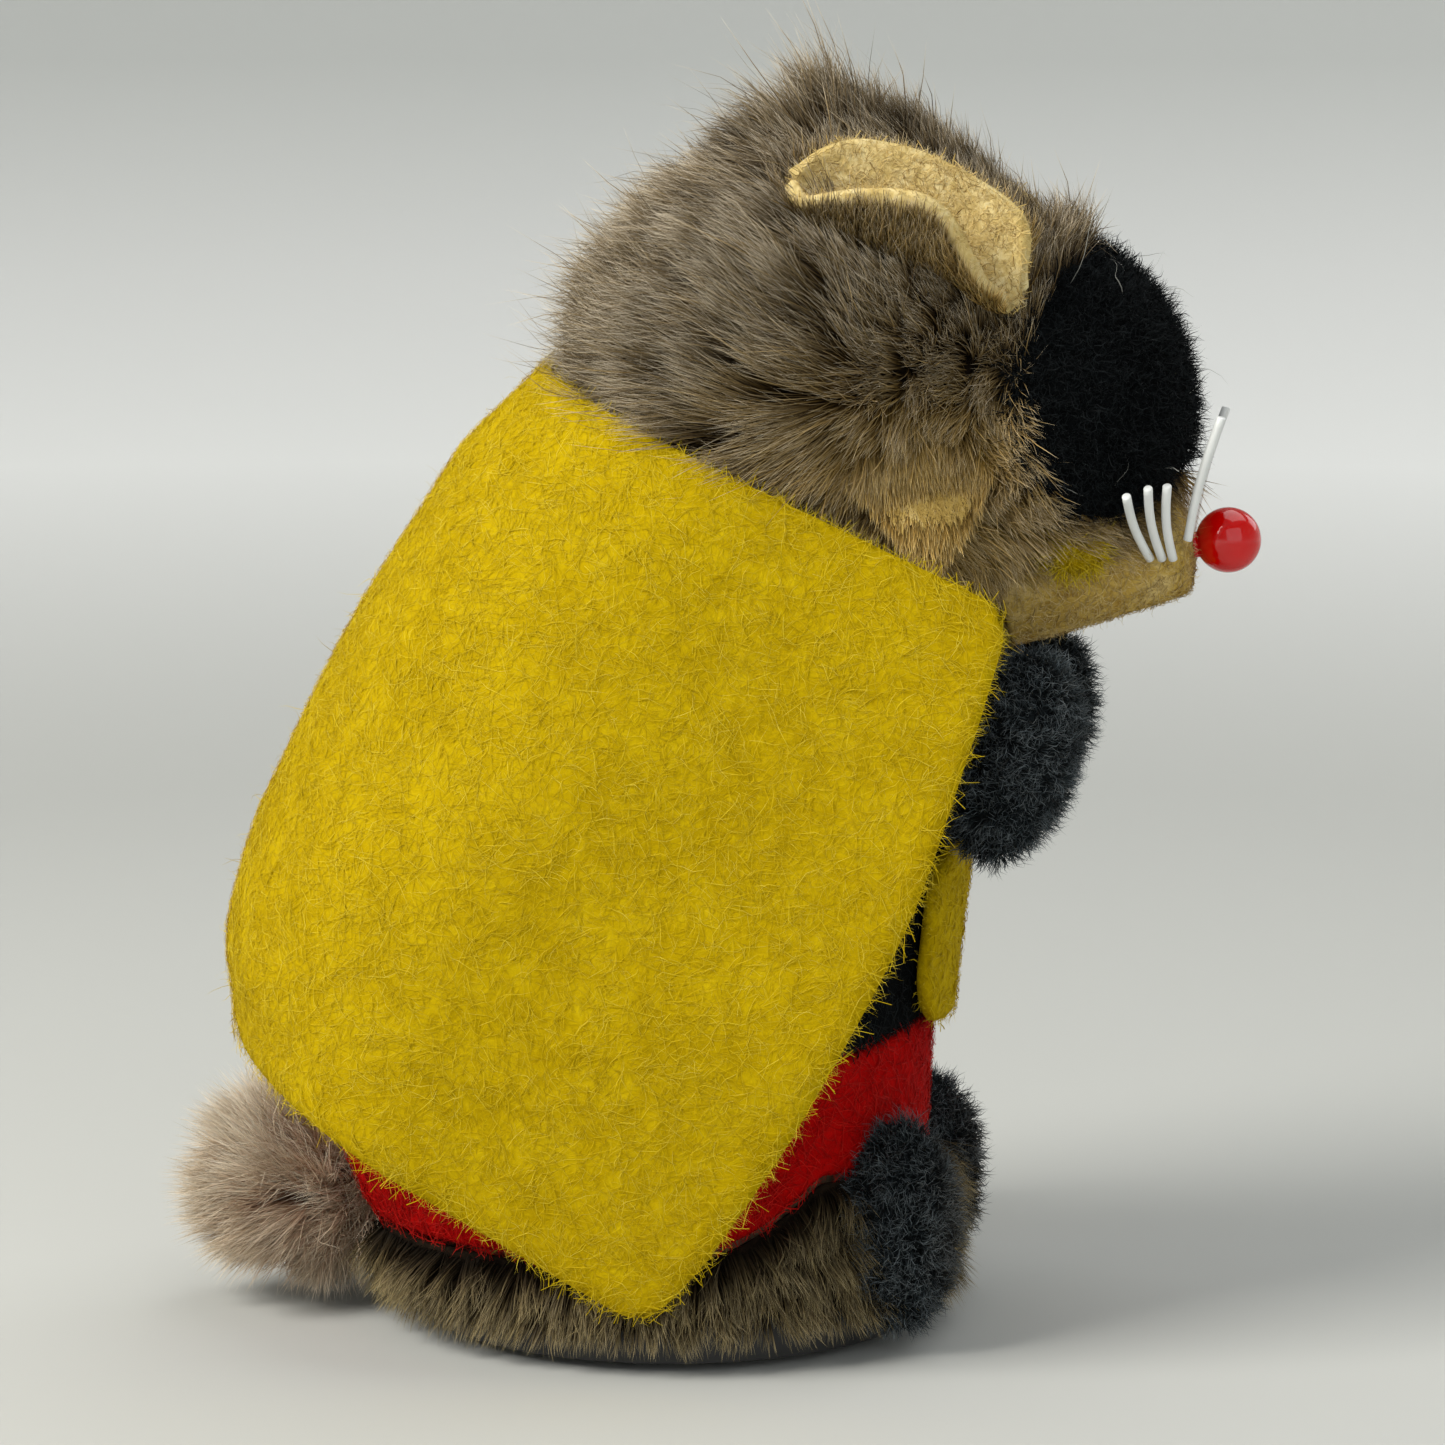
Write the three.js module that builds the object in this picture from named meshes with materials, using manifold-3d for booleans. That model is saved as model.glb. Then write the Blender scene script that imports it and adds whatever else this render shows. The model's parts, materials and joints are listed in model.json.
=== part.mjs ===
// Clockwork mouse in plush and felt, standing on a round base with wheels.
// Millimetres. +X is the mouse's left side, -Y is the way it faces, +Z is up.
// The origin is the centre of the flat underside of the base.
import * as THREE from 'three';
import { mergeVertices } from 'three/addons/utils/BufferGeometryUtils.js';
import Module from 'manifold-3d';

const wasm = await Module();
wasm.setup();

// ---------------------------------------------------------------------------
// Driving dimensions
// ---------------------------------------------------------------------------

// Clearances
const SOFT_GAP = 0.3; // between cloth or plush pieces and what they lie on
const SHAFT_CLEARANCE = 0.08; // radial, round a shaft or a rivet
const SEAM_GAP = 0.2; // between the two halves of the body case
const METAL_GAP = 0.1; // between flat metal faces

// Base tray
const BASE_RADIUS = 21.3;
const BASE_FLOOR = 1.5;
const BASE_RIM_HEIGHT = 4;
const BASE_RIM_WALL = 1.2;

// Running wheels
const DRIVE_WHEEL_RADIUS = 6;
const DRIVE_WHEEL_WIDTH = 3;
const TYRE_WALL = 1.3;
const REAR_WHEEL_RADIUS = 4;
const REAR_WHEEL_WIDTH = 3;
const WHEEL_ROOM = 0.8; // round each wheel in the base tray
const WHEEL_STANDOFF = 0.8; // how far the wheels reach below the base
const DRIVE_AXLE_Y = -6.2;
const REAR_AXLE_Y = 14;
const DRIVE_AXLE_RADIUS = 1;
const REAR_PIN_RADIUS = 0.7;

// Movement plates and pillars
const PLATE_HALF_SPACING = 7.6; // centre plane to the inner face of a plate
const PLATE_THICKNESS = 0.8;
const PLATE_FRONT_Y = -14.6;
const PLATE_BACK_Y = 17;
const PLATE_BOTTOM_Z = 1.8;
const PLATE_TOP_Z = 32.5;
const PLATE_CORNER = 5;
const TAB_LENGTH = 5;
const PILLAR_RADIUS = 1.4;
const PILLAR_TENON_RADIUS = 0.8;

// Gear train: tooth counts and module
const MODULE = 0.5;
const PRESSURE_ANGLE = THREE.MathUtils.degToRad(20);
const ADDENDUM = 0.78; // in modules
const DEDENDUM = 1.1; // in modules
const BACKLASH = 0.14; // at the pitch circle
const FINE_FLANK_TEETH = 20;
const GREAT_TEETH = 36;
const AXLE_PINION_TEETH = 14;
const PINION_TEETH = 12;
const SECOND_TEETH = 32;
const THIRD_TEETH = 30;

// Bearings of each arbor from the one that drives it, in the Y-Z plane
const GREAT_BEARING = THREE.MathUtils.degToRad(78.5);
const SECOND_BEARING = THREE.MathUtils.degToRad(60);
const THIRD_BEARING = THREE.MathUtils.degToRad(-50);
const GOVERNOR_BEARING = THREE.MathUtils.degToRad(70);

// Arbors, ratchet, spring and governor
const WINDING_ARBOR_RADIUS = 1.5;
const TRAIN_ARBOR_RADIUS = 0.9;
const PIVOT_RADIUS = 0.5;
const WHEEL_THICKNESS = 0.8;
const RATCHET_TEETH = 12;
const RATCHET_TIP_RADIUS = 4.2;
const RATCHET_ROOT_RADIUS = 3.3;
const CLICK_PIVOT_RADIUS = 6.6; // from the winding arbor
const CLICK_RIVET_RADIUS = 0.5;
const CLICK_LENGTH = 4.6;
const CLICK_HALF_WIDTH = 1;
const SPRING_TURNS = 5;
const SPRING_STRIP = 0.35;
const SPRING_WIDTH = 6;
const SPRING_OUTER_RADIUS = 8.6;
const FLYWHEEL_RADIUS = 5;
const FLYWHEEL_WIDTH = 4;

// Winding key
const KEY_SHANK_RADIUS = 2.4;
const KEY_SQUARE = 2; // across the flats of the arbor's end
const KEY_LOBE_RADIUS = 4.1;
const KEY_LOBE_OFFSET = 4.7;
const KEY_EYE_RADIUS = 1.8;
const KEY_THICKNESS = 1.2;
const KEY_CLEARANCE = 1.2; // between the cape and the key's shank

// Body: sections along its leaning axis, as parameter t, forward place, height,
// forward tilt in degrees, half length and half width
const BODY_HALF_LENGTH = BASE_RADIUS - 0.9; // at the base
const BODY_HALF_WIDTH = BASE_RADIUS - 2.5; // at the base
const BODY_SECTIONS = [
  [0, 0, 4.3, 0, BODY_HALF_LENGTH, BODY_HALF_WIDTH],
  [0.15, -3, 10.4, 4, BODY_HALF_LENGTH + 2.6, BODY_HALF_WIDTH + 0.8],
  [0.35, -4.5, 21.6, 10, BODY_HALF_LENGTH + 4.6, BODY_HALF_WIDTH + 1.2],
  [0.6, -2, 39.4, 18, BODY_HALF_LENGTH + 4.1, BODY_HALF_WIDTH + 0.2],
  [0.8, 3, 54.4, 26, BODY_HALF_LENGTH + 1.6, BODY_HALF_WIDTH - 2.3],
  [1, 8.5, 67.9, 32, BODY_HALF_LENGTH - 3.4, BODY_HALF_WIDTH - 5.8],
];
const CASE_WALL = 1.4;
const BOSS_RADIUS = 2.6;
const BOSS_X = BODY_HALF_WIDTH - 2.8;
const BOSS_Y = 4;
const BOSS_TOP_Z = 10;
const SCREW_RADIUS = 1.1;
const SCREW_HEAD_RADIUS = 2.2;
const SCREW_HEAD_THICKNESS = 0.8;
const NECK_PEG_RADIUS = 5;
const NECK_PEG_DEPTH = 6; // into the case
const NECK_PEG_HEIGHT = 9; // into the head

// Clothes
const FELT = 1.4;
const HEM_HEIGHT = 8.6;
const HEM_FRONT_HEIGHT = 14.6;
const TROUSER_TOP = 0.375; // in the body's parameter t
const VEST_TOP = 0.97;
const VEST_BACK_Y = -6;
const PATCH_HALF_WIDTH = 8;
const PATCH_BOTTOM_Z = 26;
const PATCH_TOP_Z = 40.8;
const SKIRT_PILE = 4.2;
const SKIRT_BOTTOM_Z = 0.9;

// Cape: a rectangle bent to a U round a line that leans forward
const CAPE_LEAN = THREE.MathUtils.degToRad(25);
const CAPE_THICKNESS = 1.4;
const CAPE_WIDEST = 1.09; // how much wider the hem is than the straight U
const CAPE_BOTTOM = 3.6;
const CAPE_LENGTH = 65.3;
const CAPE_HALF_WIDTH = BODY_HALF_WIDTH + 3.8;
const CAPE_BACK = -BODY_HALF_LENGTH - 27.5;
const CAPE_FRONT = 3.7;
const CAPE_ROUND_DEPTH = 25;
const CAPE_KEY_HOLE_RADIUS = 3.4;

// Limbs and tail
const ARM_RADIUS = 5.3;
const ARM_HALF_LENGTH = 9.3;
const ARM_X = 11.5;
const SHOULDER_RADIUS = 4;
const FOOT_RADIUS = 5.2;
const FOOT_HALF_HEIGHT = 9.2;
const FOOT_X = 11.5;

// Head
const SNOUT_TIP_RADIUS = 4.5;
const SNOUT_ROOT_RADIUS = 6.4;
const NOSE_RADIUS = 2.75;
const NOSE_STEM_RADIUS = 1.1;
const WHISKER_RADIUS = 0.45;
const EAR_LENGTH = 18.8;
const EAR_HEIGHT = 12;
const EAR_DEPTH = 6.4;
const EAR_WALL = 1.4;

// Facets
const SHAFT_SIDES = 10;
const BASE_SIDES = 36;
const BODY_SIDES = 24;
const BODY_RINGS = 6;
const BALL_SIDES = 14;
const BALL_RINGS = 9;
const FAR = 80; // longer than any cut through the mouse

// ---------------------------------------------------------------------------
// Finishes
// ---------------------------------------------------------------------------

const finish = (color, roughness, metalness = 0) =>
  new THREE.MeshStandardMaterial({ color, roughness, metalness });

const BRASS = finish(0xb9963f, 0.35, 1);
const STEEL = finish(0x9a9c9f, 0.35, 1);
const BLUE_STEEL = finish(0x39424f, 0.3, 1);
const TINNED_SHEET = finish(0xb4b6b4, 0.4, 1);
const BLACK_PLASTIC = finish(0x17171a, 0.45);
const WHITE_PLASTIC = finish(0xe4e2da, 0.5);
const RUBBER = finish(0x1c1b1b, 0.9);
const PULP = finish(0x8d7a62, 0.9);
const YELLOW_FELT = finish(0xd4bd1e, 0.95);
const BLACK_FELT = finish(0x14161a, 0.95);
const RED_FELT = finish(0xc01a20, 0.95);
const CREAM_FELT = finish(0xdccb9a, 0.95);
const BROWN_PLUSH = finish(0x776a5d, 0.95);
const SLATE_CHENILLE = finish(0x41474f, 0.95);
const PALE_PLUSH = finish(0xa89684, 0.95);
const RED_GLOSS = finish(0xd3141a, 0.12);
const NYLON = finish(0xf2f4f2, 0.3);

// ---------------------------------------------------------------------------
// Geometry helpers
// ---------------------------------------------------------------------------

const WELD = 1e-4;

/** A closed manifold solid from a three.js geometry, with its poles' empty triangles dropped. */
function solidOf(geometry) {
  const bare = geometry.clone();
  bare.deleteAttribute('normal');
  bare.deleteAttribute('uv');
  const merged = mergeVertices(bare, WELD);
  const corners = merged.index.array;
  const kept = [];
  for (let i = 0; i < corners.length; i += 3) {
    const [a, b, c] = corners.slice(i, i + 3);
    if (a !== b && b !== c && c !== a) {
      kept.push(a, b, c);
    }
  }
  return new wasm.Manifold(
    new wasm.Mesh({
      numProp: 3,
      vertProperties: new Float32Array(merged.attributes.position.array),
      triVerts: new Uint32Array(kept),
    }),
  );
}

/** A three.js geometry from a manifold solid. */
function geometryOf(solid) {
  const { vertProperties, triVerts } = solid.getMesh();
  const geometry = new THREE.BufferGeometry();
  geometry.setAttribute('position', new THREE.BufferAttribute(vertProperties, 3));
  geometry.setIndex(new THREE.BufferAttribute(triVerts, 1));
  return geometry;
}

const union = (...geometries) =>
  geometryOf(geometries.map(solidOf).reduce((all, next) => all.add(next)));

const cut = (geometry, ...tools) =>
  geometryOf(tools.map(solidOf).reduce((rest, tool) => rest.subtract(tool), solidOf(geometry)));

const common = (...geometries) =>
  geometryOf(geometries.map(solidOf).reduce((all, next) => all.intersect(next)));

/** Moves every vertex by a function of its place. */
function warp(geometry, move) {
  const places = geometry.attributes.position;
  const point = new THREE.Vector3();
  for (let i = 0; i < places.count; i += 1) {
    point.fromBufferAttribute(places, i);
    move(point);
    places.setXYZ(i, point.x, point.y, point.z);
  }
  return geometry;
}

const X_AXIS = new THREE.Vector3(1, 0, 0);
const Y_AXIS = new THREE.Vector3(0, 1, 0);
const Z_AXIS = new THREE.Vector3(0, 0, 1);
const OUTLINE_TO_YZ = new THREE.Matrix4().makeBasis(Y_AXIS, Z_AXIS, X_AXIS);
const AXIS_Y_TO_X = new THREE.Matrix4().makeBasis(Y_AXIS, X_AXIS, Z_AXIS.clone().negate());

/** A point of the mouse from how far forward it lies and its height. */
const forward = (ahead, height, side = 0) => new THREE.Vector3(side, -ahead, height);

/** An outline in the Y-Z plane, made a plate from x to x + thickness. */
function plate(outline, x, thickness, curveSegments = SHAFT_SIDES / 2) {
  const geometry = new THREE.ExtrudeGeometry(outline, {
    depth: thickness,
    bevelEnabled: false,
    curveSegments,
  });
  return geometry.applyMatrix4(OUTLINE_TO_YZ).translate(x, 0, 0);
}

/** A turned piece on the X axis, from its steps as pairs of radius and x, in rising x. */
function turned(steps, sides = SHAFT_SIDES) {
  const profile = [new THREE.Vector2(0, steps[0][1])];
  for (const [radius, x] of steps) {
    profile.push(new THREE.Vector2(radius, x));
  }
  profile.push(new THREE.Vector2(0, steps.at(-1)[1]));
  return new THREE.LatheGeometry(profile, sides).applyMatrix4(AXIS_Y_TO_X);
}

/** A plain cylinder on the X axis. */
const barX = (radius, from, to, sides = SHAFT_SIDES) => turned([[radius, from], [radius, to]], sides);

/** A cylinder between two points. */
function rod(from, to, radius, sides) {
  const way = new THREE.Vector3().subVectors(to, from);
  const turn = new THREE.Quaternion().setFromUnitVectors(Y_AXIS, way.clone().normalize());
  const middle = new THREE.Vector3().addVectors(from, to).multiplyScalar(0.5);
  return new THREE.CylinderGeometry(radius, radius, way.length(), sides)
    .applyQuaternion(turn)
    .translate(middle.x, middle.y, middle.z);
}

/** A box from its lowest and highest corners. */
function block(low, high) {
  const size = new THREE.Vector3(...high).sub(new THREE.Vector3(...low));
  const middle = new THREE.Vector3(...high).add(new THREE.Vector3(...low)).multiplyScalar(0.5);
  return new THREE.BoxGeometry(size.x, size.y, size.z).translate(middle.x, middle.y, middle.z);
}

/** An ellipsoid about a centre, tipped forward by a turn about X. */
function ball(centre, alongX, alongY, alongZ, tip = 0) {
  return new THREE.SphereGeometry(1, BALL_SIDES, BALL_RINGS)
    .rotateX(Math.PI / 2)
    .scale(alongX, alongY, alongZ)
    .rotateX(tip)
    .translate(centre.x, centre.y, centre.z);
}

/** A half space as a big box, on the side of the plane that its normal points to. */
function beyond(point, normal) {
  const turn = new THREE.Quaternion().setFromUnitVectors(Z_AXIS, normal.clone().normalize());
  return new THREE.BoxGeometry(4 * FAR, 4 * FAR, 4 * FAR)
    .translate(0, 0, 2 * FAR)
    .applyQuaternion(turn)
    .translate(point.x, point.y, point.z);
}

const mouse = new THREE.Group();

/** Adds one named piece to a group, at a place. */
function piece(name, geometry, material, place = new THREE.Vector3(), group = mouse) {
  const mesh = new THREE.Mesh(geometry, material);
  mesh.name = name;
  mesh.position.copy(place);
  group.add(mesh);
  return mesh;
}

const SIDES = [['left', 1], ['right', -1]];

// ---------------------------------------------------------------------------
// Arbor places and tooth phases
// ---------------------------------------------------------------------------

const pitchRadius = (teeth) => (MODULE * teeth) / 2;

/** The place of an arbor that meshes with another, at a bearing from it in the Y-Z plane. */
function arborFrom(place, bearing, distance) {
  return new THREE.Vector3(
    0,
    place.y + distance * Math.cos(bearing),
    place.z + distance * Math.sin(bearing),
  );
}

/** The angle of a tooth on the driven gear that meshes with a tooth at drivingPhase. */
function meshedPhase(drivingTeeth, drivingPhase, drivenTeeth, bearing) {
  const arc = (drivingPhase - bearing) * pitchRadius(drivingTeeth) + (Math.PI * MODULE) / 2;
  return bearing + Math.PI - arc / pitchRadius(drivenTeeth);
}

const driveAxle = new THREE.Vector3(0, DRIVE_AXLE_Y, DRIVE_WHEEL_RADIUS - WHEEL_STANDOFF);
const greatToAxle = pitchRadius(GREAT_TEETH) + pitchRadius(AXLE_PINION_TEETH);
const greatArbor = arborFrom(driveAxle, GREAT_BEARING, greatToAxle);
const secondArbor = arborFrom(
  greatArbor,
  SECOND_BEARING,
  pitchRadius(GREAT_TEETH) + pitchRadius(PINION_TEETH),
);
const thirdArbor = arborFrom(
  secondArbor,
  THIRD_BEARING,
  pitchRadius(SECOND_TEETH) + pitchRadius(PINION_TEETH),
);
const governorArbor = arborFrom(
  thirdArbor,
  GOVERNOR_BEARING,
  pitchRadius(THIRD_TEETH) + pitchRadius(PINION_TEETH),
);
const rearAxle = new THREE.Vector3(0, REAR_AXLE_Y, REAR_WHEEL_RADIUS - WHEEL_STANDOFF);

const axlePhase = meshedPhase(GREAT_TEETH, 0, AXLE_PINION_TEETH, GREAT_BEARING + Math.PI);
const secondPhase = meshedPhase(GREAT_TEETH, 0, PINION_TEETH, SECOND_BEARING);
const thirdPhase = meshedPhase(SECOND_TEETH, 0, PINION_TEETH, THIRD_BEARING);
const governorPhase = meshedPhase(THIRD_TEETH, 0, PINION_TEETH, GOVERNOR_BEARING);

/** Adds a round hole to an outline, with a shaft's clearance round the stated radius. */
function bored(outline, radius, y = 0, z = 0) {
  outline.holes.push(new THREE.Path().absarc(y, z, radius + SHAFT_CLEARANCE, 0, 2 * Math.PI, true));
  return outline;
}

/** A toothed outline with involute flanks. */
function gearOutline(teeth, phase = 0) {
  const pitch = pitchRadius(teeth);
  const base = pitch * Math.cos(PRESSURE_ANGLE);
  const involute = (radius) => {
    const angle = Math.acos(Math.min(1, base / radius));
    return Math.tan(angle) - angle;
  };
  const halfTooth = (radius) =>
    (Math.PI * MODULE - 2 * BACKLASH) / (4 * pitch) + involute(pitch) - involute(radius);
  const radii = [pitch - DEDENDUM * MODULE, pitch + ADDENDUM * MODULE];
  if (teeth < FINE_FLANK_TEETH) {
    radii.splice(1, 0, pitch); // a pinion's flank bends enough to need a point at its middle
  }
  const points = [];
  for (let tooth = 0; tooth < teeth; tooth += 1) {
    const middle = phase + (2 * Math.PI * tooth) / teeth;
    const rising = radii.map((radius) => [radius, middle - halfTooth(Math.max(radius, base))]);
    const falling = radii.map((radius) => [radius, middle + halfTooth(Math.max(radius, base))]);
    for (const [radius, angle] of [...rising, ...falling.reverse()]) {
      points.push(new THREE.Vector2(radius * Math.cos(angle), radius * Math.sin(angle)));
    }
  }
  return new THREE.Shape(points);
}

// ---------------------------------------------------------------------------
// Base tray
// ---------------------------------------------------------------------------

// Layers across the movement, from the right plate to the left
const GREAT_X = -2;
const GREAT_THICKNESS = 1;
const RATCHET_X = GREAT_X + GREAT_THICKNESS + SOFT_GAP;
const RATCHET_THICKNESS = 1;
const SPRING_X = RATCHET_X + RATCHET_THICKNESS + 0.5;
const PINION_OVERLAP = 0.4; // how far a pinion stands past its wheel on each side
const SECOND_X = -5;
const THIRD_X = -7;
const FLYWHEEL_X = 0;

const movement = new THREE.Group();
mouse.add(movement);

const wheelInnerX = PLATE_HALF_SPACING + PLATE_THICKNESS + 0.8;
const TAB_PLACES = [PLATE_FRONT_Y + PLATE_CORNER, PLATE_BACK_Y - PLATE_CORNER - TAB_LENGTH];

function baseTray() {
  const inner = BASE_RADIUS - BASE_RIM_WALL;
  const profile = [
    [0, 0],
    [BASE_RADIUS, 0],
    [BASE_RADIUS, BASE_RIM_HEIGHT],
    [inner, BASE_RIM_HEIGHT],
    [inner, BASE_FLOOR],
    [0, BASE_FLOOR],
  ].map(([radius, height]) => new THREE.Vector2(radius, height));
  const tray = new THREE.LatheGeometry(profile, BASE_SIDES).rotateX(Math.PI / 2);
  const below = -1;
  const above = BASE_FLOOR + 1;
  const room = WHEEL_ROOM;
  const slots = [];
  const slot = (centre, radius, lowX, highX) => {
    const half = Math.sqrt(radius ** 2 - (centre.z - BASE_FLOOR) ** 2) + room;
    slots.push(block([lowX, centre.y - half, below], [highX, centre.y + half, above]));
  };
  for (const [, side] of SIDES) {
    const edges = [side * (wheelInnerX - room), side * (wheelInnerX + DRIVE_WHEEL_WIDTH + room)];
    slot(driveAxle, DRIVE_WHEEL_RADIUS, Math.min(...edges), Math.max(...edges));
    const screw = new THREE.Vector3(side * BOSS_X, BOSS_Y, 0);
    const up = new THREE.Vector3(screw.x, screw.y, above);
    const down = new THREE.Vector3(screw.x, screw.y, below);
    const shoulder = new THREE.Vector3(screw.x, screw.y, SCREW_HEAD_THICKNESS + METAL_GAP);
    slots.push(rod(down, up, SCREW_RADIUS + SHAFT_CLEARANCE, SHAFT_SIDES));
    slots.push(rod(down, shoulder, SCREW_HEAD_RADIUS + METAL_GAP, SHAFT_SIDES));
    for (const tab of TAB_PLACES) {
      const low = side * (PLATE_HALF_SPACING - METAL_GAP);
      const high = side * (PLATE_HALF_SPACING + PLATE_THICKNESS + METAL_GAP);
      slots.push(block(
        [Math.min(low, high), tab - METAL_GAP, below],
        [Math.max(low, high), tab + TAB_LENGTH + METAL_GAP, above],
      ));
    }
  }
  slot(rearAxle, REAR_WHEEL_RADIUS, -REAR_WHEEL_WIDTH / 2 - room, REAR_WHEEL_WIDTH / 2 + room);
  const pinionTip = pitchRadius(AXLE_PINION_TEETH) + ADDENDUM * MODULE;
  const pinionRoom = Math.min(BASE_FLOOR / 2, driveAxle.z - pinionTip - METAL_GAP);
  slots.push(block(
    [GREAT_X - room, DRIVE_AXLE_Y - pinionTip, pinionRoom],
    [GREAT_X + GREAT_THICKNESS + room, DRIVE_AXLE_Y + pinionTip, above],
  ));
  return cut(tray, ...slots);
}
piece('base_tray', baseTray(), BLACK_PLASTIC);

// Two slotted screws hold the base tray to the case
function baseScrew() {
  const headTop = SCREW_HEAD_THICKNESS;
  const tip = BOSS_TOP_Z - 1.5;
  const profile = [
    [0, 0.05],
    [SCREW_HEAD_RADIUS, 0.05],
    [SCREW_HEAD_RADIUS, headTop],
    [SCREW_RADIUS, headTop],
    [SCREW_RADIUS, tip],
    [0, tip],
  ].map(([radius, height]) => new THREE.Vector2(radius, height));
  const screw = new THREE.LatheGeometry(profile, SHAFT_SIDES).rotateX(Math.PI / 2);
  return cut(screw, block([-0.3, -3, -1], [0.3, 3, 0.45]));
}
SIDES.forEach(([, side], i) => {
  piece(`base_screw_${i + 1}`, baseScrew(), STEEL, new THREE.Vector3(side * BOSS_X, BOSS_Y, 0));
});

// ---------------------------------------------------------------------------
// Movement plates and pillars
// ---------------------------------------------------------------------------

const PILLARS = [
  [PLATE_FRONT_Y + 2.4, PLATE_TOP_Z - 3.4],
  [PLATE_BACK_Y - 1.9, 10.5],
  [2, 4.7],
];

function plateOutline(side) {
  const outline = new THREE.Shape();
  const bend = PLATE_CORNER;
  const tabBottom = 0.3;
  outline.moveTo(PLATE_FRONT_Y, PLATE_TOP_Z - bend);
  outline.lineTo(PLATE_FRONT_Y, PLATE_BOTTOM_Z + bend);
  outline.absarc(PLATE_FRONT_Y + bend, PLATE_BOTTOM_Z + bend, bend, Math.PI, 1.5 * Math.PI);
  for (const tab of TAB_PLACES) {
    outline.lineTo(tab, PLATE_BOTTOM_Z);
    outline.lineTo(tab, tabBottom);
    outline.lineTo(tab + TAB_LENGTH, tabBottom);
    outline.lineTo(tab + TAB_LENGTH, PLATE_BOTTOM_Z);
  }
  outline.absarc(PLATE_BACK_Y - bend, PLATE_BOTTOM_Z + bend, bend, 1.5 * Math.PI, 2 * Math.PI);
  outline.lineTo(PLATE_BACK_Y, PLATE_TOP_Z - bend);
  outline.absarc(PLATE_BACK_Y - bend, PLATE_TOP_Z - bend, bend, 0, 0.5 * Math.PI);
  outline.absarc(PLATE_FRONT_Y + bend, PLATE_TOP_Z - bend, bend, 0.5 * Math.PI, Math.PI);
  const windingRadius = side > 0 ? WINDING_ARBOR_RADIUS : TRAIN_ARBOR_RADIUS;
  const holes = [
    [driveAxle, DRIVE_AXLE_RADIUS],
    [greatArbor, windingRadius],
    [secondArbor, PIVOT_RADIUS],
    [thirdArbor, PIVOT_RADIUS],
    [governorArbor, PIVOT_RADIUS],
    ...PILLARS.map(([y, z]) => [new THREE.Vector3(0, y, z), PILLAR_TENON_RADIUS]),
  ];
  holes.forEach(([at, radius]) => bored(outline, radius, at.y, at.z));
  return outline;
}
for (const [name, side] of SIDES) {
  const from = side > 0 ? PLATE_HALF_SPACING : -PLATE_HALF_SPACING - PLATE_THICKNESS;
  const geometry = plate(plateOutline(side), from, PLATE_THICKNESS);
  piece(`movement_plate_${name}`, geometry, BRASS, undefined, movement);
}

const plateOuterX = PLATE_HALF_SPACING + PLATE_THICKNESS;
const pillarShoulder = PLATE_HALF_SPACING - METAL_GAP / 2;
const pillarEnd = plateOuterX + 0.4;
PILLARS.forEach(([y, z], i) => {
  const geometry = turned([
    [PILLAR_TENON_RADIUS, -pillarEnd],
    [PILLAR_TENON_RADIUS, -pillarShoulder],
    [PILLAR_RADIUS, -pillarShoulder],
    [PILLAR_RADIUS, pillarShoulder],
    [PILLAR_TENON_RADIUS, pillarShoulder],
    [PILLAR_TENON_RADIUS, pillarEnd],
  ]);
  piece(`plate_pillar_${i + 1}`, geometry, STEEL, new THREE.Vector3(0, y, z), movement);
});

// ---------------------------------------------------------------------------
// Going train, from the great wheel to the governor and to the drive axle
// ---------------------------------------------------------------------------

/** A shaft with pivots in both plates and a pinion cut in one with it. */
function pinionArbor(teeth, phase, wheelX, wheelThickness) {
  const pivotShoulder = PLATE_HALF_SPACING - METAL_GAP;
  const shaft = turned([
    [PIVOT_RADIUS, -plateOuterX],
    [PIVOT_RADIUS, -pivotShoulder],
    [TRAIN_ARBOR_RADIUS, -pivotShoulder],
    [TRAIN_ARBOR_RADIUS, pivotShoulder],
    [PIVOT_RADIUS, pivotShoulder],
    [PIVOT_RADIUS, plateOuterX],
  ]);
  const pinionX = Math.max(wheelX - PINION_OVERLAP, -pivotShoulder);
  const pinionWidth = wheelThickness + PINION_OVERLAP + wheelX - pinionX;
  return union(shaft, plate(gearOutline(teeth, phase), pinionX, pinionWidth));
}

const greatOutline = bored(gearOutline(GREAT_TEETH), WINDING_ARBOR_RADIUS);
bored(greatOutline, CLICK_RIVET_RADIUS, 0, CLICK_PIVOT_RADIUS);
piece('great_wheel', plate(greatOutline, GREAT_X, GREAT_THICKNESS), BRASS, greatArbor, movement);
piece(
  'second_arbor',
  pinionArbor(PINION_TEETH, secondPhase, GREAT_X, GREAT_THICKNESS),
  STEEL,
  secondArbor,
  movement,
);
piece(
  'second_wheel',
  plate(bored(gearOutline(SECOND_TEETH), TRAIN_ARBOR_RADIUS), SECOND_X, WHEEL_THICKNESS),
  BRASS,
  secondArbor,
  movement,
);
piece(
  'third_arbor',
  pinionArbor(PINION_TEETH, thirdPhase, SECOND_X, WHEEL_THICKNESS),
  STEEL,
  thirdArbor,
  movement,
);
piece(
  'third_wheel',
  plate(bored(gearOutline(THIRD_TEETH), TRAIN_ARBOR_RADIUS), THIRD_X, WHEEL_THICKNESS),
  BRASS,
  thirdArbor,
  movement,
);
piece(
  'governor_arbor',
  pinionArbor(PINION_TEETH, governorPhase, THIRD_X, WHEEL_THICKNESS),
  STEEL,
  governorArbor,
  movement,
);

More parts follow.
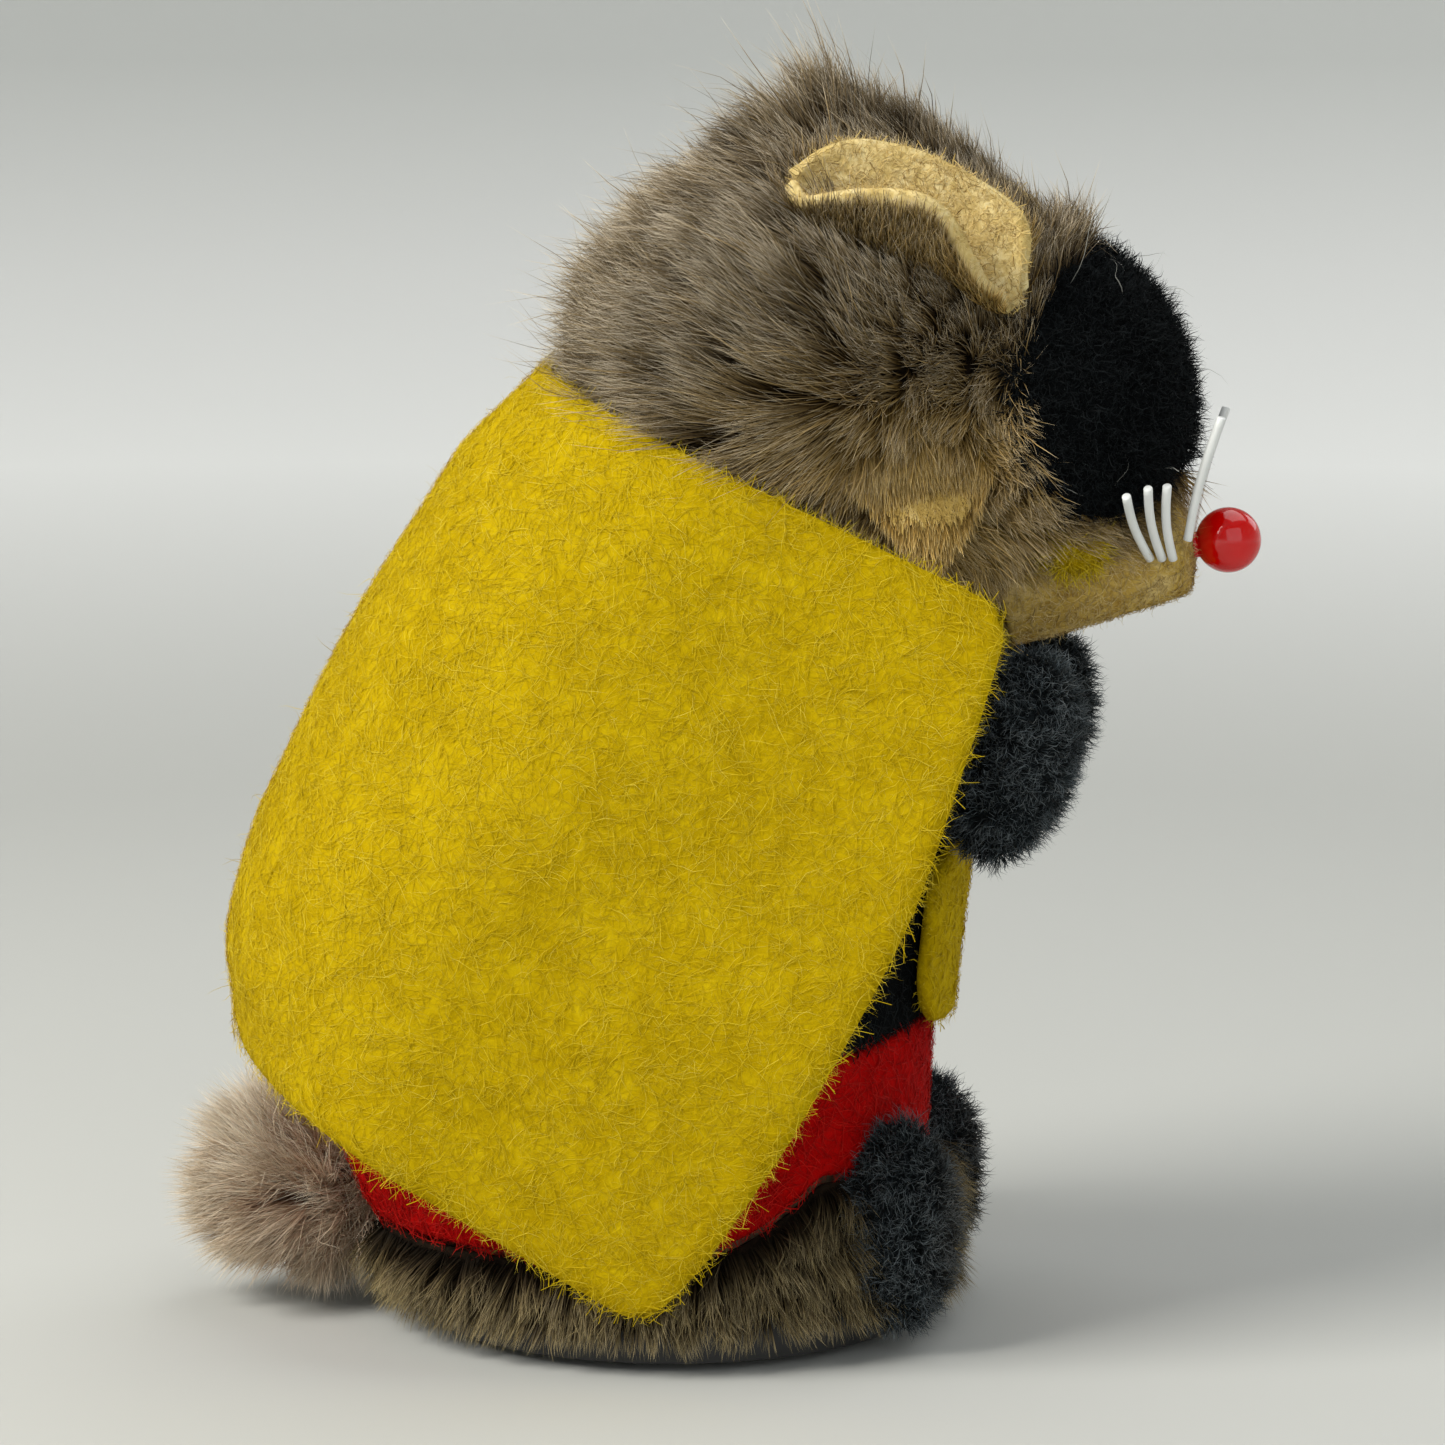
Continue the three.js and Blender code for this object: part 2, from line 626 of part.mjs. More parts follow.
// The governor's flywheel is a drum with a notch on two sides, which fans the air
function flywheel() {
  const drum = barX(FLYWHEEL_RADIUS, FLYWHEEL_X, FLYWHEEL_X + FLYWHEEL_WIDTH, 2 * SHAFT_SIDES);
  const bore = barX(TRAIN_ARBOR_RADIUS + SHAFT_CLEARANCE, -FAR, FAR);
  const notch = (side) => {
    const edges = [side * 0.6 * FLYWHEEL_RADIUS, side * 2 * FLYWHEEL_RADIUS];
    return block([-FAR, Math.min(...edges), -1.2], [FAR, Math.max(...edges), 1.2]);
  };
  return cut(drum, bore, notch(1), notch(-1));
}
piece('governor_flywheel', flywheel(), BRASS, governorArbor, movement);

// ---------------------------------------------------------------------------
// Winding work: arbor, ratchet, click and mainspring
// ---------------------------------------------------------------------------

const capeOuterX = CAPE_HALF_WIDTH * CAPE_WIDEST + CAPE_THICKNESS / 2;
const keyStartX = capeOuterX + KEY_CLEARANCE;
const keySquareEnd = keyStartX + 4;

function windingArbor() {
  const pivotShoulder = PLATE_HALF_SPACING - METAL_GAP;
  const shaft = turned([
    [TRAIN_ARBOR_RADIUS, -plateOuterX],
    [TRAIN_ARBOR_RADIUS, -pivotShoulder],
    [WINDING_ARBOR_RADIUS, -pivotShoulder],
    [WINDING_ARBOR_RADIUS, keyStartX],
  ]);
  const half = KEY_SQUARE / 2;
  return union(shaft, block([keyStartX - 1, -half, -half], [keySquareEnd, half, half]));
}
piece('winding_arbor', windingArbor(), STEEL, greatArbor, movement);

function ratchetOutline() {
  const points = [];
  for (let tooth = 0; tooth < RATCHET_TEETH; tooth += 1) {
    const angle = (2 * Math.PI * tooth) / RATCHET_TEETH;
    points.push(new THREE.Vector2(Math.cos(angle), Math.sin(angle)).multiplyScalar(RATCHET_ROOT_RADIUS));
    points.push(new THREE.Vector2(Math.cos(angle), Math.sin(angle)).multiplyScalar(RATCHET_TIP_RADIUS));
  }
  return bored(new THREE.Shape(points), WINDING_ARBOR_RADIUS);
}
piece('ratchet_wheel', plate(ratchetOutline(), RATCHET_X, RATCHET_THICKNESS), STEEL, greatArbor, movement);

// The click rides on the tips of the ratchet's teeth, and turns on a rivet in the great wheel
const clickPivot = new THREE.Vector3(0, greatArbor.y, greatArbor.z + CLICK_PIVOT_RADIUS);

function clickOutline() {
  const tipHeight = Math.sqrt((RATCHET_TIP_RADIUS + SOFT_GAP) ** 2 - (CLICK_LENGTH - 1) ** 2);
  const outline = new THREE.Shape();
  outline.moveTo(CLICK_LENGTH - 1, tipHeight - CLICK_PIVOT_RADIUS + 0.4);
  outline.lineTo(CLICK_LENGTH, tipHeight - CLICK_PIVOT_RADIUS + 0.3);
  outline.lineTo(CLICK_LENGTH - 1.2, 0.2);
  outline.lineTo(0, CLICK_HALF_WIDTH);
  outline.absarc(0, 0, CLICK_HALF_WIDTH, 0.5 * Math.PI, 1.5 * Math.PI);
  outline.lineTo(1.4, -CLICK_HALF_WIDTH);
  return bored(outline, CLICK_RIVET_RADIUS);
}
piece('click', plate(clickOutline(), RATCHET_X, RATCHET_THICKNESS, 6), STEEL, clickPivot, movement);

const clickRivet = turned([
  [CLICK_RIVET_RADIUS + 0.3, GREAT_X - 0.3 - METAL_GAP],
  [CLICK_RIVET_RADIUS + 0.3, GREAT_X - METAL_GAP],
  [CLICK_RIVET_RADIUS, GREAT_X - METAL_GAP],
  [CLICK_RIVET_RADIUS, RATCHET_X + RATCHET_THICKNESS + METAL_GAP],
  [CLICK_RIVET_RADIUS + 0.3, RATCHET_X + RATCHET_THICKNESS + METAL_GAP],
  [CLICK_RIVET_RADIUS + 0.3, RATCHET_X + RATCHET_THICKNESS + METAL_GAP + 0.2],
], 8);
piece('click_rivet', clickRivet, BRASS, clickPivot, movement);

// The click's spring is a thin strip that follows the great wheel's rim above the click
function clickSpring() {
  const outer = CLICK_PIVOT_RADIUS + CLICK_HALF_WIDTH + 0.55;
  const strip = 0.25;
  const outline = new THREE.Shape();
  outline.absarc(0, 0, outer, 0.25 * Math.PI, 0.62 * Math.PI);
  outline.absarc(0, 0, outer - strip, 0.62 * Math.PI, 0.25 * Math.PI, true);
  return plate(outline, RATCHET_X, RATCHET_THICKNESS, 8);
}
piece('click_spring', clickSpring(), BLUE_STEEL, greatArbor, movement);

// The mainspring is a spiral strip round the winding arbor
function mainspring() {
  const inner = WINDING_ARBOR_RADIUS + SOFT_GAP;
  const steps = SPRING_TURNS * 16;
  const outer = SPRING_OUTER_RADIUS - SPRING_STRIP;
  const side = (offset) => {
    const points = [];
    for (let i = 0; i <= steps; i += 1) {
      const angle = (2 * Math.PI * SPRING_TURNS * i) / steps;
      const radius = inner + ((outer - inner) * i) / steps + offset;
      points.push(new THREE.Vector2(radius * Math.cos(angle), radius * Math.sin(angle)));
    }
    return points;
  };
  const outline = new THREE.Shape([...side(SPRING_STRIP), ...side(0).reverse()]);
  return plate(outline, SPRING_X, SPRING_WIDTH);
}
piece('mainspring', mainspring(), BLUE_STEEL, greatArbor, movement);

// The key has a round shank over the arbor's square end and two flat eyed wings
function windingKey() {
  const shankEnd = keySquareEnd + 0.8;
  const room = KEY_SQUARE / 2 + SHAFT_CLEARANCE;
  const shank = barX(KEY_SHANK_RADIUS, keyStartX + METAL_GAP, shankEnd + 1, 16);
  const wing = new THREE.CylinderGeometry(KEY_LOBE_RADIUS, KEY_LOBE_RADIUS, KEY_THICKNESS, 20);
  const eye = new THREE.CylinderGeometry(KEY_EYE_RADIUS, KEY_EYE_RADIUS, 2 * KEY_THICKNESS, SHAFT_SIDES);
  const wingX = shankEnd + KEY_LOBE_RADIUS - 0.6;
  const web = block(
    [shankEnd - 0.5, -KEY_THICKNESS / 2, -KEY_LOBE_OFFSET],
    [wingX + 1.6, KEY_THICKNESS / 2, KEY_LOBE_OFFSET],
  );
  const wings = [-1, 1].map((side) => wing.clone().translate(wingX, 0, side * KEY_LOBE_OFFSET));
  const eyes = [-1, 1].map((side) => eye.clone().translate(wingX, 0, side * KEY_LOBE_OFFSET));
  const socket = block([keyStartX - 1, -room, -room], [keySquareEnd + METAL_GAP, room, room]);
  return cut(union(shank, web, ...wings), socket, ...eyes);
}
piece('winding_key', windingKey(), TINNED_SHEET, greatArbor, movement);

// ---------------------------------------------------------------------------
// Drive axle and wheels
// ---------------------------------------------------------------------------

const axleEnd = wheelInnerX + DRIVE_WHEEL_WIDTH + 0.4;
const axlePinion = plate(
  gearOutline(AXLE_PINION_TEETH, axlePhase),
  GREAT_X - PINION_OVERLAP,
  GREAT_THICKNESS + 2 * PINION_OVERLAP,
);
piece(
  'drive_axle',
  union(barX(DRIVE_AXLE_RADIUS, -axleEnd, axleEnd), axlePinion),
  STEEL,
  driveAxle,
  movement,
);

/** A ring on the X axis, from an inner and an outer radius. */
function ring(inner, outer, from, to, sides) {
  const profile = [
    [inner, from],
    [outer, from],
    [outer, to],
    [inner, to],
    [inner, from],
  ].map(([radius, x]) => new THREE.Vector2(radius, x));
  return new THREE.LatheGeometry(profile, sides).applyMatrix4(AXIS_Y_TO_X);
}

const hubRadius = DRIVE_WHEEL_RADIUS - TYRE_WALL;
for (const [name, side] of SIDES) {
  const from = side > 0 ? wheelInnerX : -wheelInnerX - DRIVE_WHEEL_WIDTH;
  const to = from + DRIVE_WHEEL_WIDTH;
  const hub = ring(DRIVE_AXLE_RADIUS + SHAFT_CLEARANCE, hubRadius, from, to, 20);
  const tyre = ring(hubRadius + METAL_GAP, DRIVE_WHEEL_RADIUS, from, to, 28);
  piece(`drive_wheel_${name}`, hub, WHITE_PLASTIC, driveAxle, movement);
  piece(`tyre_${name}`, tyre, RUBBER, driveAxle, movement);
}

// Free rear wheel, its pin and its fork
const rearHalf = REAR_WHEEL_WIDTH / 2;
const forkInner = rearHalf + 0.6;
const forkOuter = forkInner + 0.8;
piece(
  'rear_wheel',
  ring(REAR_PIN_RADIUS + SHAFT_CLEARANCE, REAR_WHEEL_RADIUS, -rearHalf, rearHalf, 20),
  BLACK_PLASTIC,
  rearAxle,
  movement,
);
piece('rear_wheel_pin', barX(REAR_PIN_RADIUS, -forkOuter - 0.3, forkOuter + 0.3), STEEL, rearAxle, movement);

function rearFork() {
  const foot = BASE_FLOOR + METAL_GAP;
  const footTop = foot + 0.8;
  const cheekTop = rearAxle.z + 2;
  const room = 0.9;
  const slotHalf = Math.sqrt(REAR_WHEEL_RADIUS ** 2 - (rearAxle.z - footTop) ** 2) + room;
  const footHalf = Math.min(slotHalf + 1.2, BASE_RADIUS - BASE_RIM_WALL - REAR_AXLE_Y - SOFT_GAP);
  const [y, half] = [REAR_AXLE_Y, 2.2];
  const base = block([-forkOuter, y - slotHalf - 1.2, foot], [forkOuter, y + footHalf, footTop]);
  const cheeks = [-1, 1].map((side) => {
    const edges = [side * forkInner, side * forkOuter];
    return block([Math.min(...edges), y - half, foot], [Math.max(...edges), y + half, cheekTop]);
  });
  const slot = block([-forkInner, y - slotHalf, 0], [forkInner, y + slotHalf, footTop + 1]);
  const bore = barX(REAR_PIN_RADIUS + SHAFT_CLEARANCE, -FAR, FAR).translate(0, y, rearAxle.z);
  return cut(union(base, ...cheeks), slot, bore);
}
piece('rear_wheel_fork', rearFork(), TINNED_SHEET, undefined, movement);

// ---------------------------------------------------------------------------
// Body case, and the clothes that follow its surface
// ---------------------------------------------------------------------------

const sections = new THREE.CubicInterpolant(
  BODY_SECTIONS.map(([t]) => t),
  BODY_SECTIONS.flatMap(([, ...values]) => values),
  BODY_SECTIONS[0].length - 1,
);
const neckSection = BODY_SECTIONS.at(-1);
const neckTilt = THREE.MathUtils.degToRad(neckSection[3]);
const neckCentre = forward(neckSection[1], neckSection[2]);
const neckAxis = forward(Math.sin(neckTilt), Math.cos(neckTilt));

/** The body as a closed solid, grown by an offset, between two values of t. */
function bodySolid(offset, from = 0, to = 1) {
  const profile = [new THREE.Vector2(0, from)];
  for (let i = 0; i <= BODY_RINGS; i += 1) {
    profile.push(new THREE.Vector2(1, from + ((to - from) * i) / BODY_RINGS));
  }
  profile.push(new THREE.Vector2(0, to));
  const unit = new THREE.LatheGeometry(profile, BODY_SIDES);
  return warp(unit, (point) => {
    const inside = Math.min(1, Math.max(0, point.y));
    const past = (point.y - inside) * FAR;
    const [ahead, height, tiltDegrees, length, width] = sections.evaluate(inside);
    const tilt = THREE.MathUtils.degToRad(tiltDegrees);
    const along = point.z * (length + offset);
    const centre = forward(ahead + past * Math.sin(tilt), height + past * Math.cos(tilt));
    const place = forward(along * Math.cos(tilt), -along * Math.sin(tilt), point.x * (width + offset));
    point.copy(centre).add(place);
  });
}

/** A layer over the body, between two offsets and two values of t. */
const bodyLayer = (inner, outer, from, to) =>
  cut(bodySolid(outer, from, to), bodySolid(inner, from - 0.1, to + 0.1));

const arborBore = (radius) => barX(radius, plateOuterX + 2, FAR).translate(0, greatArbor.y, greatArbor.z);

/** A region of the mouse's side view, as an outline in Y and Z, through its whole width. */
const throughWidth = (outline) => plate(outline, -FAR, 2 * FAR, 8);

const neckPegFrom = neckCentre.clone().addScaledVector(neckAxis, -NECK_PEG_DEPTH);
const neckPegTo = neckCentre.clone().addScaledVector(neckAxis, NECK_PEG_HEIGHT);

function bodyShell() {
  const top = 1 - CASE_WALL / 55;
  const shell = cut(bodySolid(0), bodySolid(-CASE_WALL, -0.1, top));
  const bosses = SIDES.map(([, side]) => {
    const foot = new THREE.Vector3(side * BOSS_X, BOSS_Y, BASE_FLOOR + METAL_GAP);
    const tip = new THREE.Vector3(side * BOSS_X, BOSS_Y, BOSS_TOP_Z);
    return rod(foot, tip, BOSS_RADIUS, SHAFT_SIDES);
  });
  const screwHoles = SIDES.map(([, side]) => {
    const foot = new THREE.Vector3(side * BOSS_X, BOSS_Y, 0);
    const tip = new THREE.Vector3(side * BOSS_X, BOSS_Y, BOSS_TOP_Z - 1);
    return rod(foot, tip, SCREW_RADIUS + SHAFT_CLEARANCE, SHAFT_SIDES);
  });
  const neckHole = rod(neckPegFrom, neckPegTo, NECK_PEG_RADIUS + SOFT_GAP, 16);
  return cut(union(shell, ...bosses), ...screwHoles, neckHole, arborBore(WINDING_ARBOR_RADIUS + 0.7));
}
const shellSolid = bodyShell();
for (const [name, side] of SIDES) {
  const edges = [(side * SEAM_GAP) / 2, side * FAR];
  const half = block([Math.min(...edges), -FAR, -FAR], [Math.max(...edges), FAR, 2 * FAR]);
  piece(`body_case_${name}`, common(shellSolid, half), PULP);
}
piece('neck_peg', rod(neckPegFrom, neckPegTo, NECK_PEG_RADIUS, 16), PULP);

// The trousers' hem rises towards the front, over the legs
function belowHem(lift) {
  const outline = new THREE.Shape();
  outline.moveTo(FAR, -FAR);
  outline.lineTo(FAR, HEM_HEIGHT + lift);
  outline.lineTo(-2, HEM_HEIGHT + lift);
  outline.quadraticCurveTo(-9, HEM_HEIGHT + lift, -14, HEM_FRONT_HEIGHT + lift);
  outline.lineTo(-FAR, HEM_FRONT_HEIGHT + lift);
  outline.lineTo(-FAR, -FAR);
  return throughWidth(outline);
}
const trouserOuter = SOFT_GAP + FELT;
piece(
  'trousers',
  cut(
    bodyLayer(SOFT_GAP, trouserOuter, 0.02, TROUSER_TOP),
    belowHem(SOFT_GAP),
    arborBore(WINDING_ARBOR_RADIUS + 1),
  ),
  RED_FELT,
);

const vestBottom = TROUSER_TOP + 0.01;
const frontOf = (y) => block([-FAR, -FAR, -FAR], [FAR, y, 2 * FAR]);
piece(
  'vest',
  common(bodyLayer(SOFT_GAP, trouserOuter, vestBottom, VEST_TOP), frontOf(VEST_BACK_Y)),
  BLACK_FELT,
);

const patchInner = trouserOuter + SOFT_GAP;
const patchRegion = block(
  [-PATCH_HALF_WIDTH, -FAR, PATCH_BOTTOM_Z],
  [PATCH_HALF_WIDTH, 0, PATCH_TOP_Z],
);
piece(
  'chest_patch',
  common(bodyLayer(patchInner, patchInner + FELT, vestBottom, VEST_TOP), patchRegion),
  YELLOW_FELT,
);

// Cape, in a frame of its own: across, along the felt's depth, and up the leaning line
const capeUp = forward(Math.sin(CAPE_LEAN), Math.cos(CAPE_LEAN));
const capeAhead = forward(Math.cos(CAPE_LEAN), -Math.sin(CAPE_LEAN));
const capeFrame = new THREE.Matrix4().makeBasis(X_AXIS.clone().negate(), capeAhead, capeUp);

/** The cape's relative swell at a height from 0 at its hem to 1 at the neck. */
const capeSwell = new THREE.CubicInterpolant(
  [0, 0.12, 0.3, 0.6, 0.85, 1],
  // back line, front edge and half width
  [
    4.6, -3.2, CAPE_WIDEST,
    0.8, -1.2, CAPE_WIDEST,
    -1, 0.6, 1.07,
    -0.4, 1.6, 1.0,
    1.8, -0.2, 0.86,
    3.6, -1.6, 0.76,
  ],
  3,
);

function cape() {
  const arcSteps = 14;
  const wingSteps = 4;
  const roundBack = CAPE_BACK + CAPE_ROUND_DEPTH;
  const line = (inset) => {
    const points = [];
    for (let i = 0; i < wingSteps; i += 1) {
      const along = CAPE_FRONT + ((roundBack - CAPE_FRONT) * i) / wingSteps;
      points.push(new THREE.Vector2(CAPE_HALF_WIDTH - inset, along));
    }
    for (let i = 0; i <= arcSteps; i += 1) {
      const angle = (Math.PI * i) / arcSteps;
      points.push(new THREE.Vector2(
        (CAPE_HALF_WIDTH - inset) * Math.cos(angle),
        roundBack - (CAPE_ROUND_DEPTH - inset) * Math.sin(angle),
      ));
    }
    for (let i = 1; i <= wingSteps; i += 1) {
      const along = roundBack + ((CAPE_FRONT - roundBack) * i) / wingSteps;
      points.push(new THREE.Vector2(inset - CAPE_HALF_WIDTH, along));
    }
    return points;
  };
  const half = CAPE_THICKNESS / 2;
  const outline = new THREE.Shape([...line(-half), ...line(half).reverse()]);
  const sheet = new THREE.ExtrudeGeometry(outline, {
    depth: CAPE_LENGTH,
    steps: 7,
    bevelEnabled: false,
  });
  warp(sheet, (point) => {
    const [back, front, widen] = capeSwell.evaluate(point.z / CAPE_LENGTH);
    const share = (point.y - CAPE_BACK) / (CAPE_FRONT - CAPE_BACK);
    point.set(point.x * widen, point.y + back * (1 - share) + front * share, point.z + CAPE_BOTTOM);
  });
  sheet.applyMatrix4(capeFrame);
  return cut(sheet, arborBore(CAPE_KEY_HOLE_RADIUS));
}
piece('cape', cape(), YELLOW_FELT);

// ---------------------------------------------------------------------------
// Feet, fur skirt, tail and arms
// ---------------------------------------------------------------------------

const FOOT_CENTRE = [BODY_HALF_LENGTH + 1, 9.9]; // ahead, height
const bodyRoom = bodySolid(trouserOuter + SOFT_GAP, 0, 1);
const trayRoom = new THREE.CylinderGeometry(
  BASE_RADIUS + SOFT_GAP,
  BASE_RADIUS + SOFT_GAP,
  2 * (BASE_RIM_HEIGHT + SOFT_GAP),
  BASE_SIDES,
).rotateX(Math.PI / 2);

const footBall = (side, grown) => ball(
  forward(...FOOT_CENTRE, side * FOOT_X),
  FOOT_RADIUS + grown,
  FOOT_RADIUS + grown,
  FOOT_HALF_HEIGHT + grown,
);
for (const [name, side] of SIDES) {
  piece(`foot_${name}`, cut(footBall(side, 0), bodyRoom, trayRoom), SLATE_CHENILLE);
}

function furSkirt() {
  const below = (SKIRT_BOTTOM_Z - BODY_SECTIONS[0][2]) / FAR;
  const outer = common(bodySolid(SKIRT_PILE, below, 0.3), belowHem(-SOFT_GAP));
  const feet = SIDES.map(([, side]) => footBall(side, SOFT_GAP));
  return cut(outer, bodySolid(SOFT_GAP, -0.1, 0.4), trayRoom, ...feet);
}
piece('fur_skirt', furSkirt(), BROWN_PLUSH);

const TAIL_CENTRE = [-BODY_HALF_LENGTH - 12.8, 10.4];
const TAIL_HALF = [7.6, 9.4, 8.4]; // across, along and up
const skirtRoom = bodySolid(SKIRT_PILE + SOFT_GAP, -0.1, 1);
piece('tail', cut(ball(forward(...TAIL_CENTRE), ...TAIL_HALF), skirtRoom), PALE_PLUSH);

const ARM_CENTRE = [30.2, 49.3];
const ARM_LEAN = THREE.MathUtils.degToRad(16);
for (const [name, side] of SIDES) {
  const hand = ball(
    forward(...ARM_CENTRE, side * ARM_X),
    ARM_RADIUS,
    ARM_RADIUS,
    ARM_HALF_LENGTH,
    ARM_LEAN,
  );
  const shoulder = rod(
    forward(ARM_CENTRE[0], ARM_CENTRE[1] + 1, side * ARM_X),
    forward(10, ARM_CENTRE[1] + 3, side * (ARM_X - 1)),
    SHOULDER_RADIUS,
    SHAFT_SIDES,
  );
  piece(`arm_${name}`, cut(union(hand, shoulder), bodyRoom), SLATE_CHENILLE);
}

// ---------------------------------------------------------------------------
// Head, snout, nose, whiskers, ears and mask
// ---------------------------------------------------------------------------

const SKULL_CENTRE = [13.5, 82.4];
const SKULL_HALF = [18.5, 21.5, 18.5];
const CROWN_CENTRE = [15, 98.9];
const CROWN_HALF = [8.5, 9, 6];
const FACE_CENTRE = [30.6, 78];
const FACE_HALF = [12, 11.7, 13.2];
const FACE_TIP = THREE.MathUtils.degToRad(-8);
const CHEEK_CENTRE = [19.5, 67.9];
const CHEEK_HALF = [13.6, 13, 10];
const SNOUT_ROOT = [28, 63.6];
const SNOUT_TIP = [43.9, 66.2];

const grow = (halves, by) => halves.map((half) => half + by);
const skull = (grown = 0) => ball(forward(...SKULL_CENTRE), ...grow(SKULL_HALF, grown));
const face = (grown = 0) => ball(forward(...FACE_CENTRE), ...grow(FACE_HALF, grown), FACE_TIP);

/** The snout's cone from root to tip, grown by an offset. */
function snoutCone(grown) {
  const root = forward(...SNOUT_ROOT);
  const tip = forward(...SNOUT_TIP);
  const way = new THREE.Vector3().subVectors(tip, root);
  const turn = new THREE.Quaternion().setFromUnitVectors(Y_AXIS, way.clone().normalize());
  const middle = root.clone().addScaledVector(way, 0.5);
  return new THREE.CylinderGeometry(
    SNOUT_TIP_RADIUS + grown,
    SNOUT_ROOT_RADIUS + grown,
    way.length() + 2 * grown,
    24,
  )
    .applyQuaternion(turn)
    .translate(middle.x, middle.y, middle.z);
}

function head() {
  const capeTop = capeUp.clone().multiplyScalar(CAPE_BOTTOM + CAPE_LENGTH + SOFT_GAP);
  const upper = common(
    union(skull(), ball(forward(...CROWN_CENTRE), ...CROWN_HALF)),
    beyond(capeTop, capeUp),
  );
  const cheeks = ball(forward(...CHEEK_CENTRE), ...CHEEK_HALF);
  const whole = union(upper, face(), cheeks);
  const neckTop = neckCentre.clone().addScaledVector(neckAxis, SOFT_GAP);
  const socketTop = neckPegTo.clone().addScaledVector(neckAxis, SOFT_GAP);
  const socket = rod(neckPegFrom, socketTop, NECK_PEG_RADIUS + SOFT_GAP, 16);
  return cut(common(whole, beyond(neckTop, neckAxis)), socket, snoutCone(SOFT_GAP));
}
piece('head', head(), BROWN_PLUSH);

const snoutAxis = new THREE.Vector3().subVectors(forward(...SNOUT_TIP), forward(...SNOUT_ROOT)).normalize();
const noseSeat = forward(...SNOUT_TIP);
const noseStemRoot = noseSeat.clone().addScaledVector(snoutAxis, -4);
const noseCentre = noseSeat.clone().addScaledVector(snoutAxis, NOSE_RADIUS + SOFT_GAP);
const noseHole = rod(
  noseStemRoot.clone().addScaledVector(snoutAxis, -SOFT_GAP),
  noseCentre,
  NOSE_STEM_RADIUS + SOFT_GAP,
  SHAFT_SIDES,
);
piece('snout', cut(snoutCone(0), noseHole), CREAM_FELT);
piece(
  'nose_bead',
  union(
    new THREE.SphereGeometry(NOSE_RADIUS, 16, 12).translate(noseCentre.x, noseCentre.y, noseCentre.z),
    rod(noseStemRoot, noseCentre, NOSE_STEM_RADIUS, 10),
  ),
  RED_GLOSS,
);

// The mask is a band of felt over the face, cut to an upright oval in the side view
const MASK_CENTRE = [38.4, 81];
const MASK_HALF = [9, 12];
const MASK_TURN = THREE.MathUtils.degToRad(10);
function mask() {
  const oval = new THREE.Shape();
  oval.absellipse(-MASK_CENTRE[0], MASK_CENTRE[1], ...MASK_HALF, 0, 2 * Math.PI, false, MASK_TURN);
  const band = common(cut(face(SOFT_GAP + FELT), face(SOFT_GAP)), throughWidth(oval));
  return cut(band, skull(SOFT_GAP), snoutCone(SOFT_GAP));
}
piece('mask', mask(), BLACK_FELT);

// A yellow wool tuft on each side of the snout's root
const TUFT_CENTRE = [34.4, 66.8];
const TUFT_X = 7;
const TUFT_HALF = [1.9, 2.9, 2.6]; // across, along and up
for (const [name, side] of SIDES) {
  const tuft = ball(forward(...TUFT_CENTRE, side * TUFT_X), ...TUFT_HALF);
  piece(`cheek_tuft_${name}`, cut(tuft, snoutCone(SOFT_GAP), face(SOFT_GAP)), YELLOW_FELT);
}

// Whiskers: three short ones in a fan and one long one on each side
const WHISKER_ROOT_X = 5.3;
const WHISKERS = [
  // root ahead and height, then tip ahead, height and side
  [40.6, 65.5, 38.9, 71.1, 11.8],
  [41.6, 65.5, 40.6, 71.7, 10.8],
  [42.5, 65.5, 42.1, 71.8, 9.4],
  [43.7, 67.1, 46.4, 77.3, 7.6],
];
for (const [name, side] of SIDES) {
  WHISKERS.forEach(([rootAhead, rootHeight, tipAhead, tipHeight, tipSide], i) => {
    const from = forward(rootAhead, rootHeight, side * WHISKER_ROOT_X);
    const to = forward(tipAhead, tipHeight, side * tipSide);
    piece(`whisker_${name}_${i + 1}`, rod(from, to, WHISKER_RADIUS, 6), NYLON);
  });
}

// Ears: felt cups whose mouths look outwards and back
const EAR_CENTRE = [21, 93.8];
const EAR_X = 15.6;
const EAR_TIP = THREE.MathUtils.degToRad(22);
for (const [name, side] of SIDES) {
  const centre = forward(...EAR_CENTRE, side * EAR_X);
  const outer = ball(centre, EAR_DEPTH, EAR_LENGTH / 2, EAR_HEIGHT / 2, EAR_TIP);
  const mouth = centre.clone().add(new THREE.Vector3(side * EAR_WALL, 0, 0));
  const inner = ball(
    mouth,
    EAR_DEPTH,
    EAR_LENGTH / 2 - EAR_WALL,
    EAR_HEIGHT / 2 - EAR_WALL,
    EAR_TIP,
  );
  const rim = beyond(
    new THREE.Vector3(side * (EAR_X + 2.6), centre.y, centre.z),
    new THREE.Vector3(side, 0.1, 0.35),
  );
  const headRoom = [skull(SOFT_GAP), ball(forward(...CROWN_CENTRE), ...grow(CROWN_HALF, SOFT_GAP))];
  piece(`ear_${name}`, cut(outer, inner, rim, ...headRoom), CREAM_FELT);
}

export default mouse;
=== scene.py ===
"""Looks of a clockwork mouse in plush and felt, built round its packed mechanism.

Sizes are in millimetres. The mouse faces -Y, +X is its left side, +Z is up, and "ahead" is -Y.
"""
import json
import logging
from dataclasses import dataclass, field
from enum import Enum

